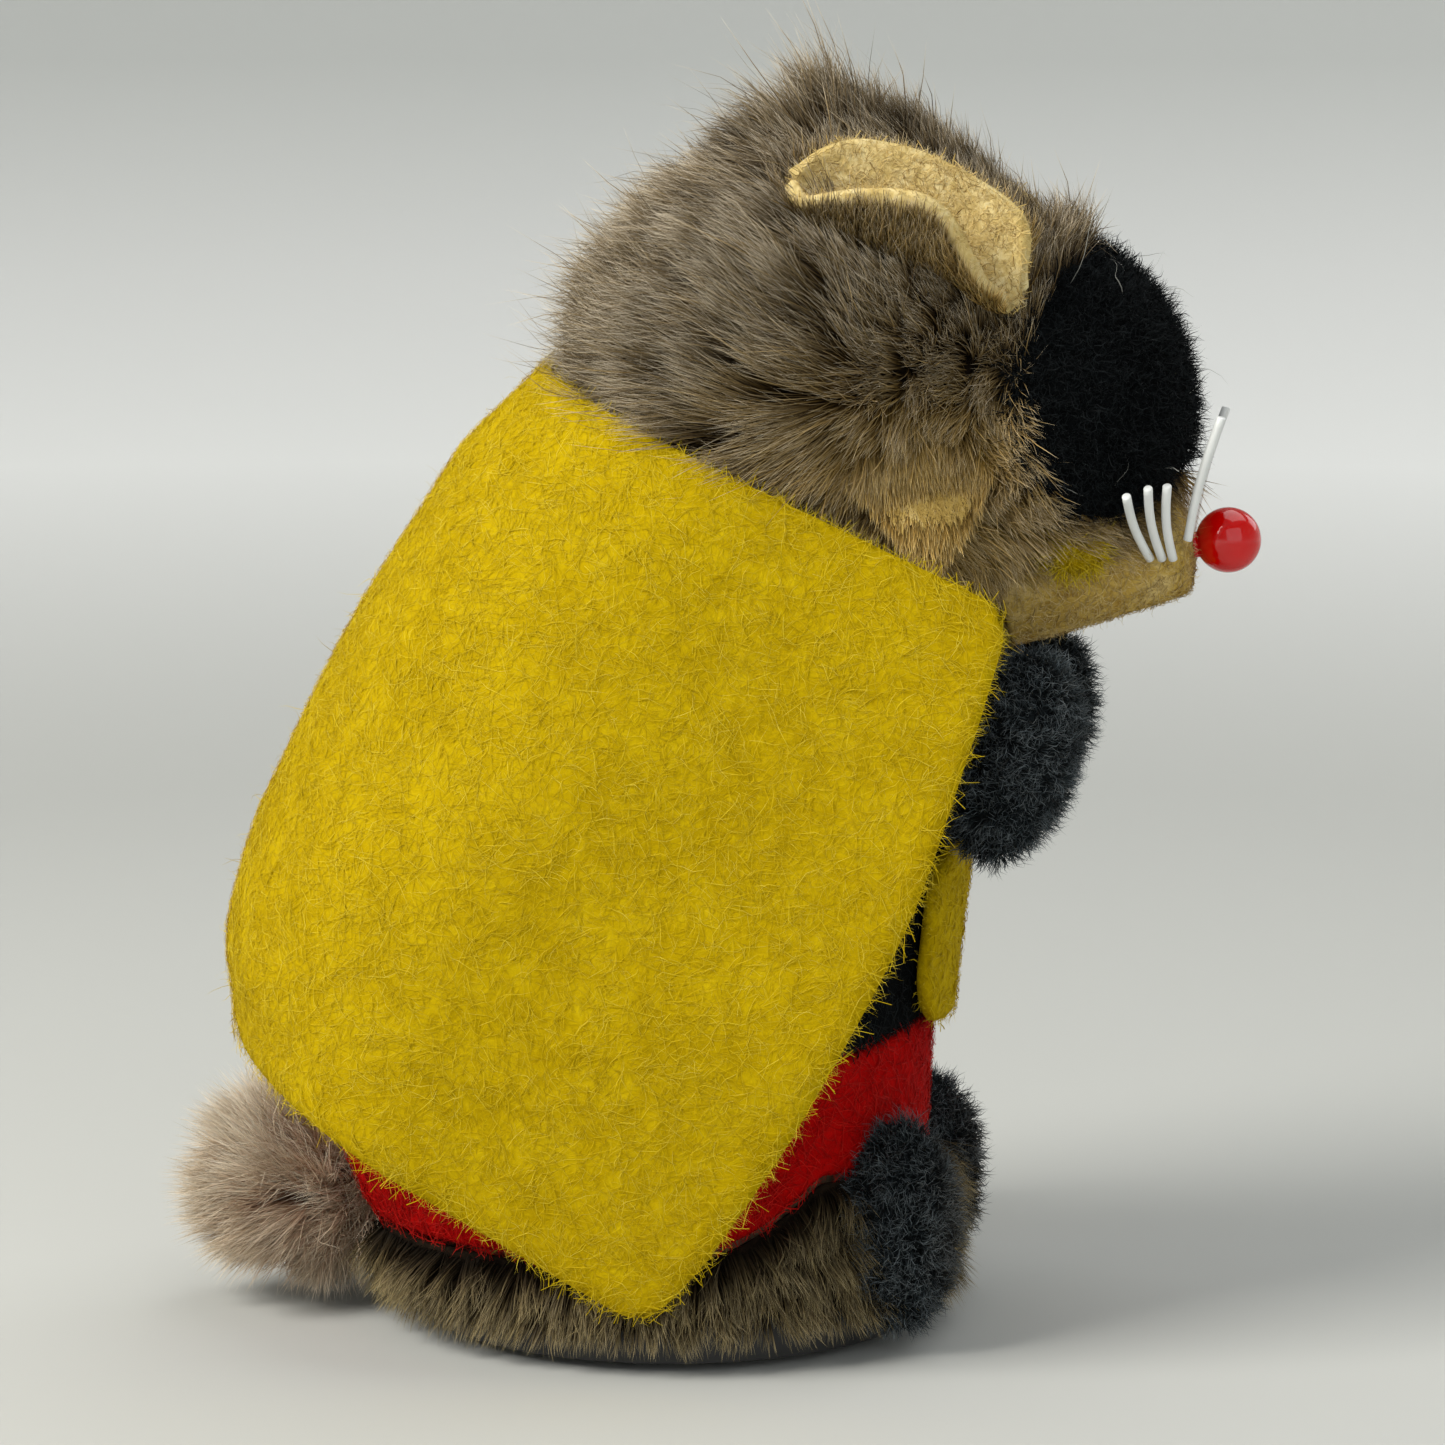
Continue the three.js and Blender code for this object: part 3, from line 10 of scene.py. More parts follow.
import bpy
import numpy as np
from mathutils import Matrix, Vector


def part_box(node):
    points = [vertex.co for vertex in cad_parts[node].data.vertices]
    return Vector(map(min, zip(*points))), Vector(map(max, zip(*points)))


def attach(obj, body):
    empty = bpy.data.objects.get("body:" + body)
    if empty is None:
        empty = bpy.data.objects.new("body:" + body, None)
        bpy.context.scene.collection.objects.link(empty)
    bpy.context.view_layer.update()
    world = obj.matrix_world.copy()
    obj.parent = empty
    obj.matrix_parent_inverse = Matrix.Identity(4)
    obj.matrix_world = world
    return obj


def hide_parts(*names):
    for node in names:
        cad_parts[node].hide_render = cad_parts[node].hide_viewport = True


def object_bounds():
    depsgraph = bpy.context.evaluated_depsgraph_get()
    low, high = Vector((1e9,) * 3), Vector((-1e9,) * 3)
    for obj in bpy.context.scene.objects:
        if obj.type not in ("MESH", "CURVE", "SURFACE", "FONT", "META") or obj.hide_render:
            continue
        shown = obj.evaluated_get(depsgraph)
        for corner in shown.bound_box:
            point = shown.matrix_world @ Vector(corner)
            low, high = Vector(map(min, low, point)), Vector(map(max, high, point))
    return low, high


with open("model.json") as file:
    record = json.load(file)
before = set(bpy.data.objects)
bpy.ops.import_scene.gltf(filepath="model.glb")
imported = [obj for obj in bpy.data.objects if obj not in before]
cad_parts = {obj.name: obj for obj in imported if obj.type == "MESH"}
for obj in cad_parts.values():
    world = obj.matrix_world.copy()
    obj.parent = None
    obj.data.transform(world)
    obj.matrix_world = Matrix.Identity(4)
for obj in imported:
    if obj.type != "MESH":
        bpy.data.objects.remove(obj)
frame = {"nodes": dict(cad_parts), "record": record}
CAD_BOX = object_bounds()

MM = 0.001
BODY = "mouse"
LOG = logging.getLogger("clockwork_mouse")
Array = np.ndarray


class Side(Enum):
    """A side of the mouse, with the sign of its X."""

    LEFT = 1
    RIGHT = -1

    @property
    def word(self) -> str:
        """The side's name in lower case."""
        return self.name.lower()


class Slot(Enum):
    """The record's material slots that new pieces take their finish from."""

    YELLOW_FELT = "yellow_felt"
    BLACK_FELT = "black_felt"
    RED_FELT = "red_felt"
    CREAM_FELT = "cream_felt"
    BROWN_PLUSH = "brown_plush"
    PALE_PLUSH = "pale_plush"
    CHENILLE = "slate_chenille"
    YELLOW_WOOL = "yellow_wool"
    RED_BEAD = "red_bead"
    NYLON = "nylon"


# ---------------------------------------------------------------------------
# Numbers and noise
# ---------------------------------------------------------------------------


def unit(vectors: Array) -> Array:
    """Scales vectors to length one.

    Args:
        vectors: Vectors in the last axis.

    Returns:
        The same vectors, each divided by its own length.
    """
    return vectors / np.maximum(np.linalg.norm(vectors, axis=-1, keepdims=True), 1e-9)


def hashed(cells: Array, seed: int) -> Array:
    """Gives every whole-number cell its own steady luck.

    Args:
        cells: Whole numbers, with the cell's places in the last axis.
        seed: Picks one of many independent draws.

    Returns:
        A number from 0 to 1 per cell: the fraction of a large sine of the cell's weighted sum.
    """
    mixed = cells @ np.array([127.1, 311.7, 74.7]) + seed * 19.19
    value = np.sin(mixed) * 43758.5453
    return value - np.floor(value)


def lumps(points: Array, size: float, seed: int) -> Array:
    """Smooth noise in space.

    Args:
        points: Places in millimetres.
        size: The width of one lump.
        seed: Picks one of many independent fields.

    Returns:
        Values from -1 to 1: the lucks of the eight lattice corners round a point, blended by the
        cubic 3t^2 - 2t^3 along each axis.
    """
    scaled = points / size
    base = np.floor(scaled)
    share = scaled - base
    share = share * share * (3 - 2 * share)
    total = np.zeros(points.shape[:-1])
    for corner in np.ndindex(2, 2, 2):
        step = np.array(corner)
        weight = np.prod(np.where(step == 1, share, 1 - share), axis=-1)
        total += weight * hashed(base + step, seed)
    return 2 * total - 1


def swirl(points: Array, size: float, seed: int) -> Array:
    """A smooth field of vectors, one noise for each axis."""
    return np.stack([lumps(points, size, seed + axis) for axis in range(3)], axis=-1)


def drawn(cells: Array, seed: int) -> Array:
    """Three steady lucks for each cell, one for each axis."""
    return np.stack([hashed(cells, seed + axis) for axis in range(3)], -1)


def laid(vectors: Array, normals: Array) -> Array:
    """Vectors laid flat on a surface: each one loses its part along the normal."""
    return vectors - normals * np.sum(vectors * normals, -1, keepdims=True)


def smooth_line(knots: Array, share: Array) -> Array:
    """A Catmull-Rom curve: each span is the cubic whose end slopes are half its neighbours' chord.

    Args:
        knots: The curve's points, in order.
        share: Places along the curve, from 0 to 1.

    Returns:
        The curve's points at those places.
    """
    knots = np.asarray(knots, float)
    last = len(knots) - 1
    at = np.clip(share, 0, 1) * last
    i = np.minimum(at.astype(int), last - 1)
    t = (at - i)[..., None]
    a, b = knots[np.maximum(i - 1, 0)], knots[i]
    c, d = knots[i + 1], knots[np.minimum(i + 2, last)]
    return b + 0.5 * t * (c - a + t * (2 * a - 5 * b + 4 * c - d + t * (3 * (b - c) + d - a)))


def ahead(forward: Array, height: Array, side: Array | float = 0.0) -> Array:
    """Points from how far forward they lie, their height and their side."""
    return np.stack(np.broadcast_arrays(side, -np.asarray(forward, float), height), axis=-1)


def box_mm(node: str) -> tuple[Array, Array]:
    """A node's lowest and highest corners in millimetres."""
    low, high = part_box(node)
    return np.array(low) / MM, np.array(high) / MM


def middle_mm(node: str) -> Array:
    """The middle of a node's box in millimetres."""
    low, high = box_mm(node)
    return (low + high) / 2


def settled(points: Array, node: str) -> Array:
    """Moves a surface so that the middle of its box is the middle of a node's box.

    Args:
        points: The surface's points.
        node: The CAD node whose place it takes.

    Returns:
        The moved points.
    """
    flat = points.reshape(-1, 3)
    return points + middle_mm(node) - (flat.min(0) + flat.max(0)) / 2


# ---------------------------------------------------------------------------
# Surfaces
# ---------------------------------------------------------------------------


@dataclass
class Roots:
    """Places where fibres grow: points, outward normals, and shares along rows and columns."""

    points: Array
    normals: Array
    row: Array
    col: Array

    def only(self, kept: Array) -> "Roots":
        """The roots that a mask keeps."""
        return Roots(self.points[kept], self.normals[kept], self.row[kept], self.col[kept])


@dataclass
class Skin:
    """A surface as a grid of points, which may close on itself along its columns."""

    points: Array
    wrap: bool = False

    @property
    def normals(self) -> Array:
        """Unit normals: the slope along the columns crossed with the slope along the rows."""
        if self.wrap:
            along = np.roll(self.points, -1, 1) - np.roll(self.points, 1, 1)
        else:
            along = np.gradient(self.points, axis=1)
        return unit(np.cross(along, np.gradient(self.points, axis=0)))

    def corners(self) -> tuple[Array, Array, Array, Array]:
        """Flat indices of each cell's four corners, each as rows of cells by columns of cells."""
        rows, cols = self.points.shape[:2]
        index = np.arange(rows * cols).reshape(rows, cols)
        if self.wrap:
            index = np.concatenate([index, index[:, :1]], axis=1)
        return index[:-1, :-1], index[:-1, 1:], index[1:, 1:], index[1:, :-1]

    @property
    def cells(self) -> Array:
        """The middle of each cell."""
        return sum(self.points.reshape(-1, 3)[i] for i in self.corners()) / 4

    def lifted(self, distance: float) -> "Skin":
        """The same surface, moved along its normals."""
        return Skin(self.points + self.normals * distance, self.wrap)

    def uneven(self, height: float, size: float, seed: int) -> "Skin":
        """The surface raised along its normals by lumps of that height and width."""
        raised = self.normals * height * lumps(self.points, size, seed)[..., None]
        return Skin(self.points + raised, self.wrap)

    def facing_out(self, core: Array) -> "Skin":
        """The surface in the column order that turns its normals away from a core.

        Args:
            core: The place that each point, or each row of points, faces away from.

        Returns:
            The same surface, its columns reversed if its normals pointed inwards.
        """
        outward = np.sum(self.normals * (self.points - core), axis=-1)
        return self if np.mean(outward) >= 0 else Skin(self.points[:, ::-1], self.wrap)

    def closed(self) -> tuple[Array, Array, Array]:
        """A round form closed at both ends by a fan about the middle of its end row.

        Returns:
            Points, four-cornered faces and three-cornered faces.
        """
        rows, cols = self.points.shape[:2]
        a, b, c, d = self.corners()
        quads = np.stack([a, b, c, d], axis=-1).reshape(-1, 4)
        ends = np.stack([self.points[0].mean(0), self.points[-1].mean(0)])
        first = np.arange(cols)
        after = np.roll(first, -1)
        last = first + (rows - 1) * cols
        low = np.stack([after, first, np.full(cols, rows * cols)], axis=-1)
        high = np.stack([last, np.roll(last, -1), np.full(cols, rows * cols + 1)], axis=-1)
        points = np.concatenate([self.points.reshape(-1, 3), ends])
        return points, quads, np.concatenate([low, high])

    def thick(self, thickness: float, keep: Array | None = None) -> tuple[Array, Array, Array]:
        """A sheet of that thickness about this surface, closed all round its rim and its holes.

        The two faces lie half a thickness off the surface, and come together by a cosine-like step
        over the last two rings of points, so the rim is round.

        Args:
            thickness: The sheet's thickness.
            keep: Which cells are cloth, or None for all.

        Returns:
            Points, four-cornered faces and no three-cornered faces.
        """
        a, b, c, d = self.corners()
        keep = np.ones(a.shape, bool) if keep is None else keep
        count = self.points.shape[0] * self.points.shape[1]
        depth = np.ones(count)
        for ring, share in ((0, 0.8), (1, 0.45)):
            inner = keep.copy() if ring else shrunk(keep, self.wrap)
            open_cells = ~inner
            touched = np.zeros(count, bool)
            for corner in (a, b, c, d):
                touched[corner[open_cells]] = True
            edge_rows = [0, -1] if ring else [0, 1, -2, -1]
            grid = touched.reshape(self.points.shape[:2])
            grid[edge_rows] = True
            if not self.wrap:
                grid[:, edge_rows] = True
            depth[grid.ravel()] = share
        offset = (self.normals * depth.reshape(self.points.shape[:2])[..., None] * thickness / 2)
        outer = (self.points + offset).reshape(-1, 3)
        inner_points = (self.points - offset).reshape(-1, 3)
        front = np.stack([a, b, c, d], axis=-1)[keep]
        faces = [front, front[:, ::-1] + count]
        padded = np.pad(keep, 1)
        if self.wrap:
            padded[1:-1, 0], padded[1:-1, -1] = keep[:, -1], keep[:, 0]
        edges = ((padded[:-2, 1:-1], a, b), (padded[1:-1, 2:], b, c),
                 (padded[2:, 1:-1], c, d), (padded[1:-1, :-2], d, a))
        for beside, start, end in edges:
            rim = keep & ~beside
            first, second = start[rim], end[rim]
            faces.append(np.stack([second, first, first + count, second + count], axis=-1))
        quads = np.concatenate(faces)
        used, quads = np.unique(quads, return_inverse=True)
        points = np.concatenate([outer, inner_points])[used]
        return points, quads.reshape(-1, 4), np.empty((0, 3), int)

    def scatter(self, count: int, rng: np.random.Generator, weight: Array | None = None) -> Roots:
        """Draws places evenly over the surface's area.

        Args:
            count: How many places.
            rng: The seeded source of luck.
            weight: How thickly each cell is planted, or None for evenly.

        Returns:
            The places, with their normals and shares.
        """
        a, b, c, d = self.corners()
        flat = self.points.reshape(-1, 3)
        normals = self.normals.reshape(-1, 3)
        area = np.linalg.norm(np.cross(flat[c] - flat[a], flat[d] - flat[b]), axis=-1)
        chance = (area if weight is None else area * weight).ravel()
        cell = rng.choice(len(chance), count, p=chance / chance.sum())
        across, up = rng.random((2, count))
        mix = [(1 - across) * (1 - up), across * (1 - up), across * up, (1 - across) * up]
        chosen = [corner.ravel()[cell] for corner in (a, b, c, d)]
        points = sum(m[:, None] * flat[i] for m, i in zip(mix, chosen))
        facing = unit(sum(m[:, None] * normals[i] for m, i in zip(mix, chosen)))
        row, col = np.divmod(cell, a.shape[1])
        return Roots(points, facing, (row + up) / a.shape[0], (col + across) / a.shape[1])


def shrunk(keep: Array, wrap: bool) -> Array:
    """The kept cells whose eight neighbours are kept too.

    Args:
        keep: Which cells are cloth.
        wrap: Whether the columns close on themselves.

    Returns:
        The mask, smaller by one cell along every edge of a hole or outline.
    """
    padded = np.pad(keep, 1, constant_values=True)
    if wrap:
        padded[:, 0], padded[:, -1] = padded[:, -2], padded[:, 1]
    rows, cols = keep.shape
    windows = [padded[i:i + rows, j:j + cols] for i in range(3) for j in range(3)]
    return np.logical_and.reduce(windows)


def directions(rows: int, cols: int) -> Array:
    """Unit vectors over a ball, from near its bottom to near its top, turning left about +Z."""
    polar = np.pi * (np.arange(rows) + 0.5) / rows
    turn = 2 * np.pi * np.arange(cols) / cols
    polar, turn = np.meshgrid(polar, turn, indexing="ij")
    return np.stack([np.sin(polar) * np.cos(turn), np.sin(polar) * np.sin(turn), -np.cos(polar)], -1)


def tipped(vectors: Array, angle: float) -> Array:
    """Turns vectors about +X by an angle in degrees."""
    c, s = np.cos(np.radians(angle)), np.sin(np.radians(angle))
    x, y, z = np.moveaxis(vectors, -1, 0)
    return np.stack([x, c * y - s * z, s * y + c * z], axis=-1)


def egg(centre: Array, halves: Array, angle: float = 0.0, rows: int = 40, cols: int = 64) -> Skin:
    """An ellipsoid: unit directions times three half sizes, turned about +X and moved to a centre."""
    return Skin(tipped(directions(rows, cols) * np.asarray(halves), angle) + np.asarray(centre), True)


def tube(path: Array, radii: Array, sides: int, turned: bool = True) -> Skin:
    """A round rod along a path in three dimensions.

    Each ring is the cosine and sine of the turn along two directions that are square to the path.

    Args:
        path: The middle line's points.
        radii: The radius at each point.
        sides: Points round the rod.
        turned: Whether to turn it to face outwards now, or leave that until its lumps are raised.

    Returns:
        The rod's surface.
    """
    way = unit(np.gradient(path, axis=0))
    lean = np.where(np.abs(way[:, :1]) < 0.9, np.array([[1.0, 0, 0]]), np.array([[0, 0, 1.0]]))
    first = unit(np.cross(way, lean))
    second = np.cross(way, first)
    turn = 2 * np.pi * np.arange(sides) / sides
    ring = np.cos(turn)[None, :, None] * first[:, None] + np.sin(turn)[None, :, None] * second[:, None]
    skin = Skin(path[:, None] + ring * radii[:, None, None], True)
    return skin.facing_out(path[:, None]) if turned else skin


def clear_of_arbor(skin: Skin, radius: float) -> Array:
    """The cells of a cloth that leave a hole for the winding arbor on the left side.

    Args:
        skin: The cloth's surface.
        radius: The hole's radius.

    Returns:
        A mask that keeps the whole right side, and on the left what lies beyond the radius.
    """
    cells, arbor = skin.cells, middle_mm("winding_arbor")
    away = np.hypot(cells[..., 1] - arbor[1], cells[..., 2] - arbor[2])
    return (cells[..., 0] < 0) | (away > radius)


# ---------------------------------------------------------------------------
# Finishes
# ---------------------------------------------------------------------------


def linear(code: str) -> tuple[float, float, float, float]:
    """Turns an sRGB hex colour to linear light.

    Args:
        code: Six hex digits.

    Returns:
        Red, green and blue as light, and 1. Below 0.04045 the value is divided by 12.92, and above
        it the curve is ((c + 0.055) / 1.055) to the power 2.4.
    """
    values = [int(code[i:i + 2], 16) / 255 for i in (0, 2, 4)]
    light = [c / 12.92 if c <= 0.04045 else ((c + 0.055) / 1.055) ** 2.4 for c in values]
    return (*light, 1.0)


def add_node(tree: bpy.types.NodeTree, kind: str, inputs: dict | None = None, **settings) -> bpy.types.Node:
    """Adds one node with its settings, constants and links.

    Args:
        tree: The material's node tree.
        kind: The node's type.
        inputs: Values by input name or number; a socket is linked, and a number is set.
        settings: The node's own properties.

    Returns:
        The new node.
    """
    node = tree.nodes.new(kind)
    for name, value in settings.items():
        setattr(node, name, value)
    for name, value in (inputs or {}).items():
        if isinstance(value, bpy.types.NodeSocket):
            tree.links.new(value, node.inputs[name])
        else:
            node.inputs[name].default_value = value
    return node


def colour_stops(node: bpy.types.Node, stops: dict[float, str]) -> None:
    """Sets a colour ramp's stops from places and hex colours."""
    ramp = node.color_ramp
    while len(ramp.elements) < len(stops):
        ramp.elements.new(0.5)
    for element, (place, code) in zip(ramp.elements, sorted(stops.items())):
        element.position = place
        element.color = linear(code)


@dataclass(frozen=True)
class Finish:
    """What every finish shares: a name, and a shader's own constants."""

    name: str
    roughness: float = 0.6
    metallic: float = 0.0
    ior: float = 1.5
    sheen: float = 0.0
    coat: float = 0.0
    specular: float = 0.5

    def material(self) -> bpy.types.Material:
        """The finish as a material, made once."""
        known = bpy.data.materials.get(self.name)
        if known:
            return known
        made = bpy.data.materials.new(self.name)
        made.use_nodes = True
        tree = made.node_tree
        shader = tree.nodes["Principled BSDF"]
        shader.inputs["Roughness"].default_value = self.roughness
        shader.inputs["Metallic"].default_value = self.metallic
        shader.inputs["IOR"].default_value = self.ior
        shader.inputs["Sheen Weight"].default_value = self.sheen
        shader.inputs["Coat Weight"].default_value = self.coat
        shader.inputs["Specular IOR Level"].default_value = self.specular
        self.dress(tree, shader)
        return made

    def dress(self, tree: bpy.types.NodeTree, shader: bpy.types.Node) -> None:
        """Adds the colour and relief of this finish."""
        raise NotImplementedError


@dataclass(frozen=True)
class WoolFelt(Finish):
    """Pressed wool felt: fibres matted every way, so the eye sees soft mottling and short streaks."""

    dark: str = "000000"
    middle: str = "808080"
    light: str = "ffffff"
    blotch: float = 5.0  # mm across a thick or thin place in the felt
    fibre: float = 0.5  # mm; wool is 0.03 mm thick, drawn coarser so that it shows
    relief: float = 0.25
    roughness: float = 0.95
    specular: float = 0.05

    def dress(self, tree: bpy.types.NodeTree, shader: bpy.types.Node) -> None:
        """Mottling picks the colour, and warped streaks raise the surface."""
        place = add_node(tree, "ShaderNodeTexCoord").outputs["Object"]
        warp = add_node(tree, "ShaderNodeTexNoise", {"Vector": place, "Scale": 1000 / 3.0, "Detail": 2.0})
        bent = add_node(tree, "ShaderNodeVectorMath", {0: warp.outputs["Color"], 1: (0.003, 0.003, 0.003)},
                        operation="MULTIPLY")
        moved = add_node(tree, "ShaderNodeVectorMath", {0: place, 1: bent.outputs[0]}, operation="ADD")
        streak = add_node(tree, "ShaderNodeTexNoise", {
            "Vector": moved.outputs[0], "Scale": 1000 / self.fibre / 3, "Detail": 4.0,
            "Roughness": 0.7, "Distortion": 1.5})
        blotch = add_node(tree, "ShaderNodeTexNoise", {
            "Vector": place, "Scale": 1000 / self.blotch, "Detail": 3.0, "Roughness": 0.6})
        mixed = add_node(tree, "ShaderNodeMath", {
            0: blotch.outputs["Fac"], 1: streak.outputs["Fac"]}, operation="ADD")
        half = add_node(tree, "ShaderNodeMath", {0: mixed.outputs[0], 1: 0.5}, operation="MULTIPLY")
        ramp = add_node(tree, "ShaderNodeValToRGB", {"Fac": half.outputs[0]})
        colour_stops(ramp, {0.38: self.dark, 0.5: self.middle, 0.64: self.light})
        bump = add_node(tree, "ShaderNodeBump", {
            "Strength": 0.8, "Distance": self.relief * MM, "Height": streak.outputs["Fac"]})
        tree.links.new(ramp.outputs["Color"], shader.inputs["Base Color"])
        tree.links.new(bump.outputs["Normal"], shader.inputs["Normal"])


@dataclass(frozen=True)
class Fibre(Finish):
    """Loose fibres or pile: each one runs from its root's colour to its tip's, and none is alike.

    The attribute "strand" holds how far along the fibre a point is, the fibre's own luck, and how
    far it leans from the first dye to the second; on the tail, that lean is also painted shade.
    """

    stops: tuple[tuple[float, str], ...] = ((0.0, "202020"), (1.0, "808080"))
    others: tuple[tuple[float, str], ...] = ((0.0, "202020"), (1.0, "808080"))
    spread: float = 0.5  # how much one fibre's brightness differs from the next
    roughness: float = 0.7
    specular: float = 0.08

    def dress(self, tree: bpy.types.NodeTree, shader: bpy.types.Node) -> None:
        """Two ramps along the fibre, mixed by its lean and dimmed or lit by its luck."""
        strand = add_node(tree, "ShaderNodeAttribute", attribute_name="strand")
        parts = add_node(tree, "ShaderNodeSeparateXYZ", {0: strand.outputs["Vector"]})
        ramps = []
        for stops in (self.stops, self.others):
            ramp = add_node(tree, "ShaderNodeValToRGB", {"Fac": parts.outputs[0]})
            colour_stops(ramp, dict(stops))
            ramps.append(ramp.outputs["Color"])
        dyed = add_node(tree, "ShaderNodeMix", data_type="RGBA")
        tree.links.new(parts.outputs[2], dyed.inputs[0])
        tree.links.new(ramps[0], dyed.inputs[6])
        tree.links.new(ramps[1], dyed.inputs[7])
        lit = add_node(tree, "ShaderNodeMapRange", {
            "Value": parts.outputs[1], "To Min": 1 - self.spread, "To Max": 1 + self.spread})
        toned = add_node(tree, "ShaderNodeHueSaturation", {
            "Color": dyed.outputs[2], "Value": lit.outputs[0]})
        tree.links.new(toned.outputs["Color"], shader.inputs["Base Color"])


@dataclass(frozen=True)
class Moulded(Finish):
    """Injection-moulded or rubbed plastic, rubber or lacquer: an even colour with a fine grain."""

    colour: str = "202020"
    worn: str = "303030"
    grain: float = 0.4  # mm; mould grain is about 0.05 mm, drawn coarser so that it shows
    relief: float = 0.02

    def dress(self, tree: bpy.types.NodeTree, shader: bpy.types.Node) -> None:
        """Faint clouds in the colour, faint grain in the relief."""
        place = add_node(tree, "ShaderNodeTexCoord").outputs["Object"]
        cloud = add_node(tree, "ShaderNodeTexNoise", {"Vector": place, "Scale": 1000 / 6, "Detail": 4.0})
        ramp = add_node(tree, "ShaderNodeValToRGB", {"Fac": cloud.outputs["Fac"]})
        colour_stops(ramp, {0.4: self.colour, 0.75: self.worn})
        fine = add_node(tree, "ShaderNodeTexNoise", {
            "Vector": place, "Scale": 1000 / self.grain, "Detail": 2.0})
        bump = add_node(tree, "ShaderNodeBump", {
            "Strength": 0.5, "Distance": self.relief * MM, "Height": fine.outputs["Fac"]})
        tree.links.new(ramp.outputs["Color"], shader.inputs["Base Color"])
        tree.links.new(bump.outputs["Normal"], shader.inputs["Normal"])


@dataclass(frozen=True)
class Paper(Finish):
    """Matt paper with painted light and shade: its colour changes with height, darkest at the floor, as a
    sweep looks that is lit from above.
    """

    # Painted light and shade: darkest at the floor, lightest a little way up, darker again towards the top.
    painted_light_shades: tuple[tuple[float, str], ...] = (
        (0.0, "bbbcb8"), (0.3, "e6e7e5"), (0.6, "dcdddb"), (1.0, "c8cac7"))
    height: float = 120.0  # mm over which the painted light and shade run
    roughness: float = 0.95
    specular: float = 0.1

    def dress(self, tree: bpy.types.NodeTree, shader: bpy.types.Node) -> None:
        """A ramp by height gives the colour with its painted light and shade, and fine noise a grain."""
        place = add_node(tree, "ShaderNodeTexCoord").outputs["Object"]
        parts = add_node(tree, "ShaderNodeSeparateXYZ", {0: place})
        rise = add_node(tree, "ShaderNodeMapRange", {"Value": parts.outputs[2], "From Max": self.height * MM})
        ramp = add_node(tree, "ShaderNodeValToRGB", {"Fac": rise.outputs[0]})
        colour_stops(ramp, dict(self.painted_light_shades))
        fine = add_node(tree, "ShaderNodeTexNoise", {"Vector": place, "Scale": 1000 / 3, "Detail": 2.0})
        bump = add_node(tree, "ShaderNodeBump", {
            "Strength": 0.3, "Distance": 0.02 * MM, "Height": fine.outputs["Fac"]})
        tree.links.new(ramp.outputs["Color"], shader.inputs["Base Color"])
        tree.links.new(bump.outputs["Normal"], shader.inputs["Normal"])


@dataclass(frozen=True)
class Worked(Finish):
    """Worked metal: tool lines run across it, and its shine is uneven where it was handled."""

    bright: str = "b0b0b0"
    dull: str = "808080"
    lines: float = 0.15  # mm between tool lines
    metallic: float = 1.0
    roughness: float = 0.35

    def dress(self, tree: bpy.types.NodeTree, shader: bpy.types.Node) -> None:
        """Stretched noise for tool lines, cloudy noise for tarnish and for the shine."""
        place = add_node(tree, "ShaderNodeTexCoord").outputs["Object"]
        drawn = add_node(tree, "ShaderNodeMapping", {"Vector": place, "Scale": (1.0, 0.12, 1.0)})
        line = add_node(tree, "ShaderNodeTexNoise", {
            "Vector": drawn.outputs[0], "Scale": 1000 / self.lines / 3, "Detail": 2.0})
        cloud = add_node(tree, "ShaderNodeTexNoise", {"Vector": place, "Scale": 1000 / 4, "Detail": 5.0})
        ramp = add_node(tree, "ShaderNodeValToRGB", {"Fac": cloud.outputs["Fac"]})
        colour_stops(ramp, {0.35: self.dull, 0.6: self.bright})
        shine = add_node(tree, "ShaderNodeMapRange", {
            "Value": cloud.outputs["Fac"], "To Min": self.roughness + 0.15, "To Max": self.roughness - 0.1})
        bump = add_node(tree, "ShaderNodeBump", {
            "Strength": 0.4, "Distance": 0.01 * MM, "Height": line.outputs["Fac"]})
        tree.links.new(ramp.outputs["Color"], shader.inputs["Base Color"])
        tree.links.new(shine.outputs[0], shader.inputs["Roughness"])
        tree.links.new(bump.outputs["Normal"], shader.inputs["Normal"])


@dataclass(frozen=True)
class Pulp(Finish):
    """Pressed card or turned wood: long pale and dark fibres, as grain along one way."""

    dark: str = "5c4c38"
    light: str = "9a8464"
    stretch: tuple[float, float, float] = (1.0, 1.0, 0.2)
    grain: float = 0.6  # mm between fibres or rings
    roughness: float = 0.85

    def dress(self, tree: bpy.types.NodeTree, shader: bpy.types.Node) -> None:
        """Noise drawn out along the grain gives the colour and the relief."""
        place = add_node(tree, "ShaderNodeTexCoord").outputs["Object"]
        drawn = add_node(tree, "ShaderNodeMapping", {"Vector": place, "Scale": self.stretch})
        grain = add_node(tree, "ShaderNodeTexNoise", {
            "Vector": drawn.outputs[0], "Scale": 1000 / self.grain / 2, "Detail": 5.0, "Distortion": 0.4})
        ramp = add_node(tree, "ShaderNodeValToRGB", {"Fac": grain.outputs["Fac"]})
        colour_stops(ramp, {0.35: self.dark, 0.65: self.light})
        bump = add_node(tree, "ShaderNodeBump", {
            "Strength": 0.6, "Distance": 0.1 * MM, "Height": grain.outputs["Fac"]})
        tree.links.new(ramp.outputs["Color"], shader.inputs["Base Color"])
        tree.links.new(bump.outputs["Normal"], shader.inputs["Normal"])


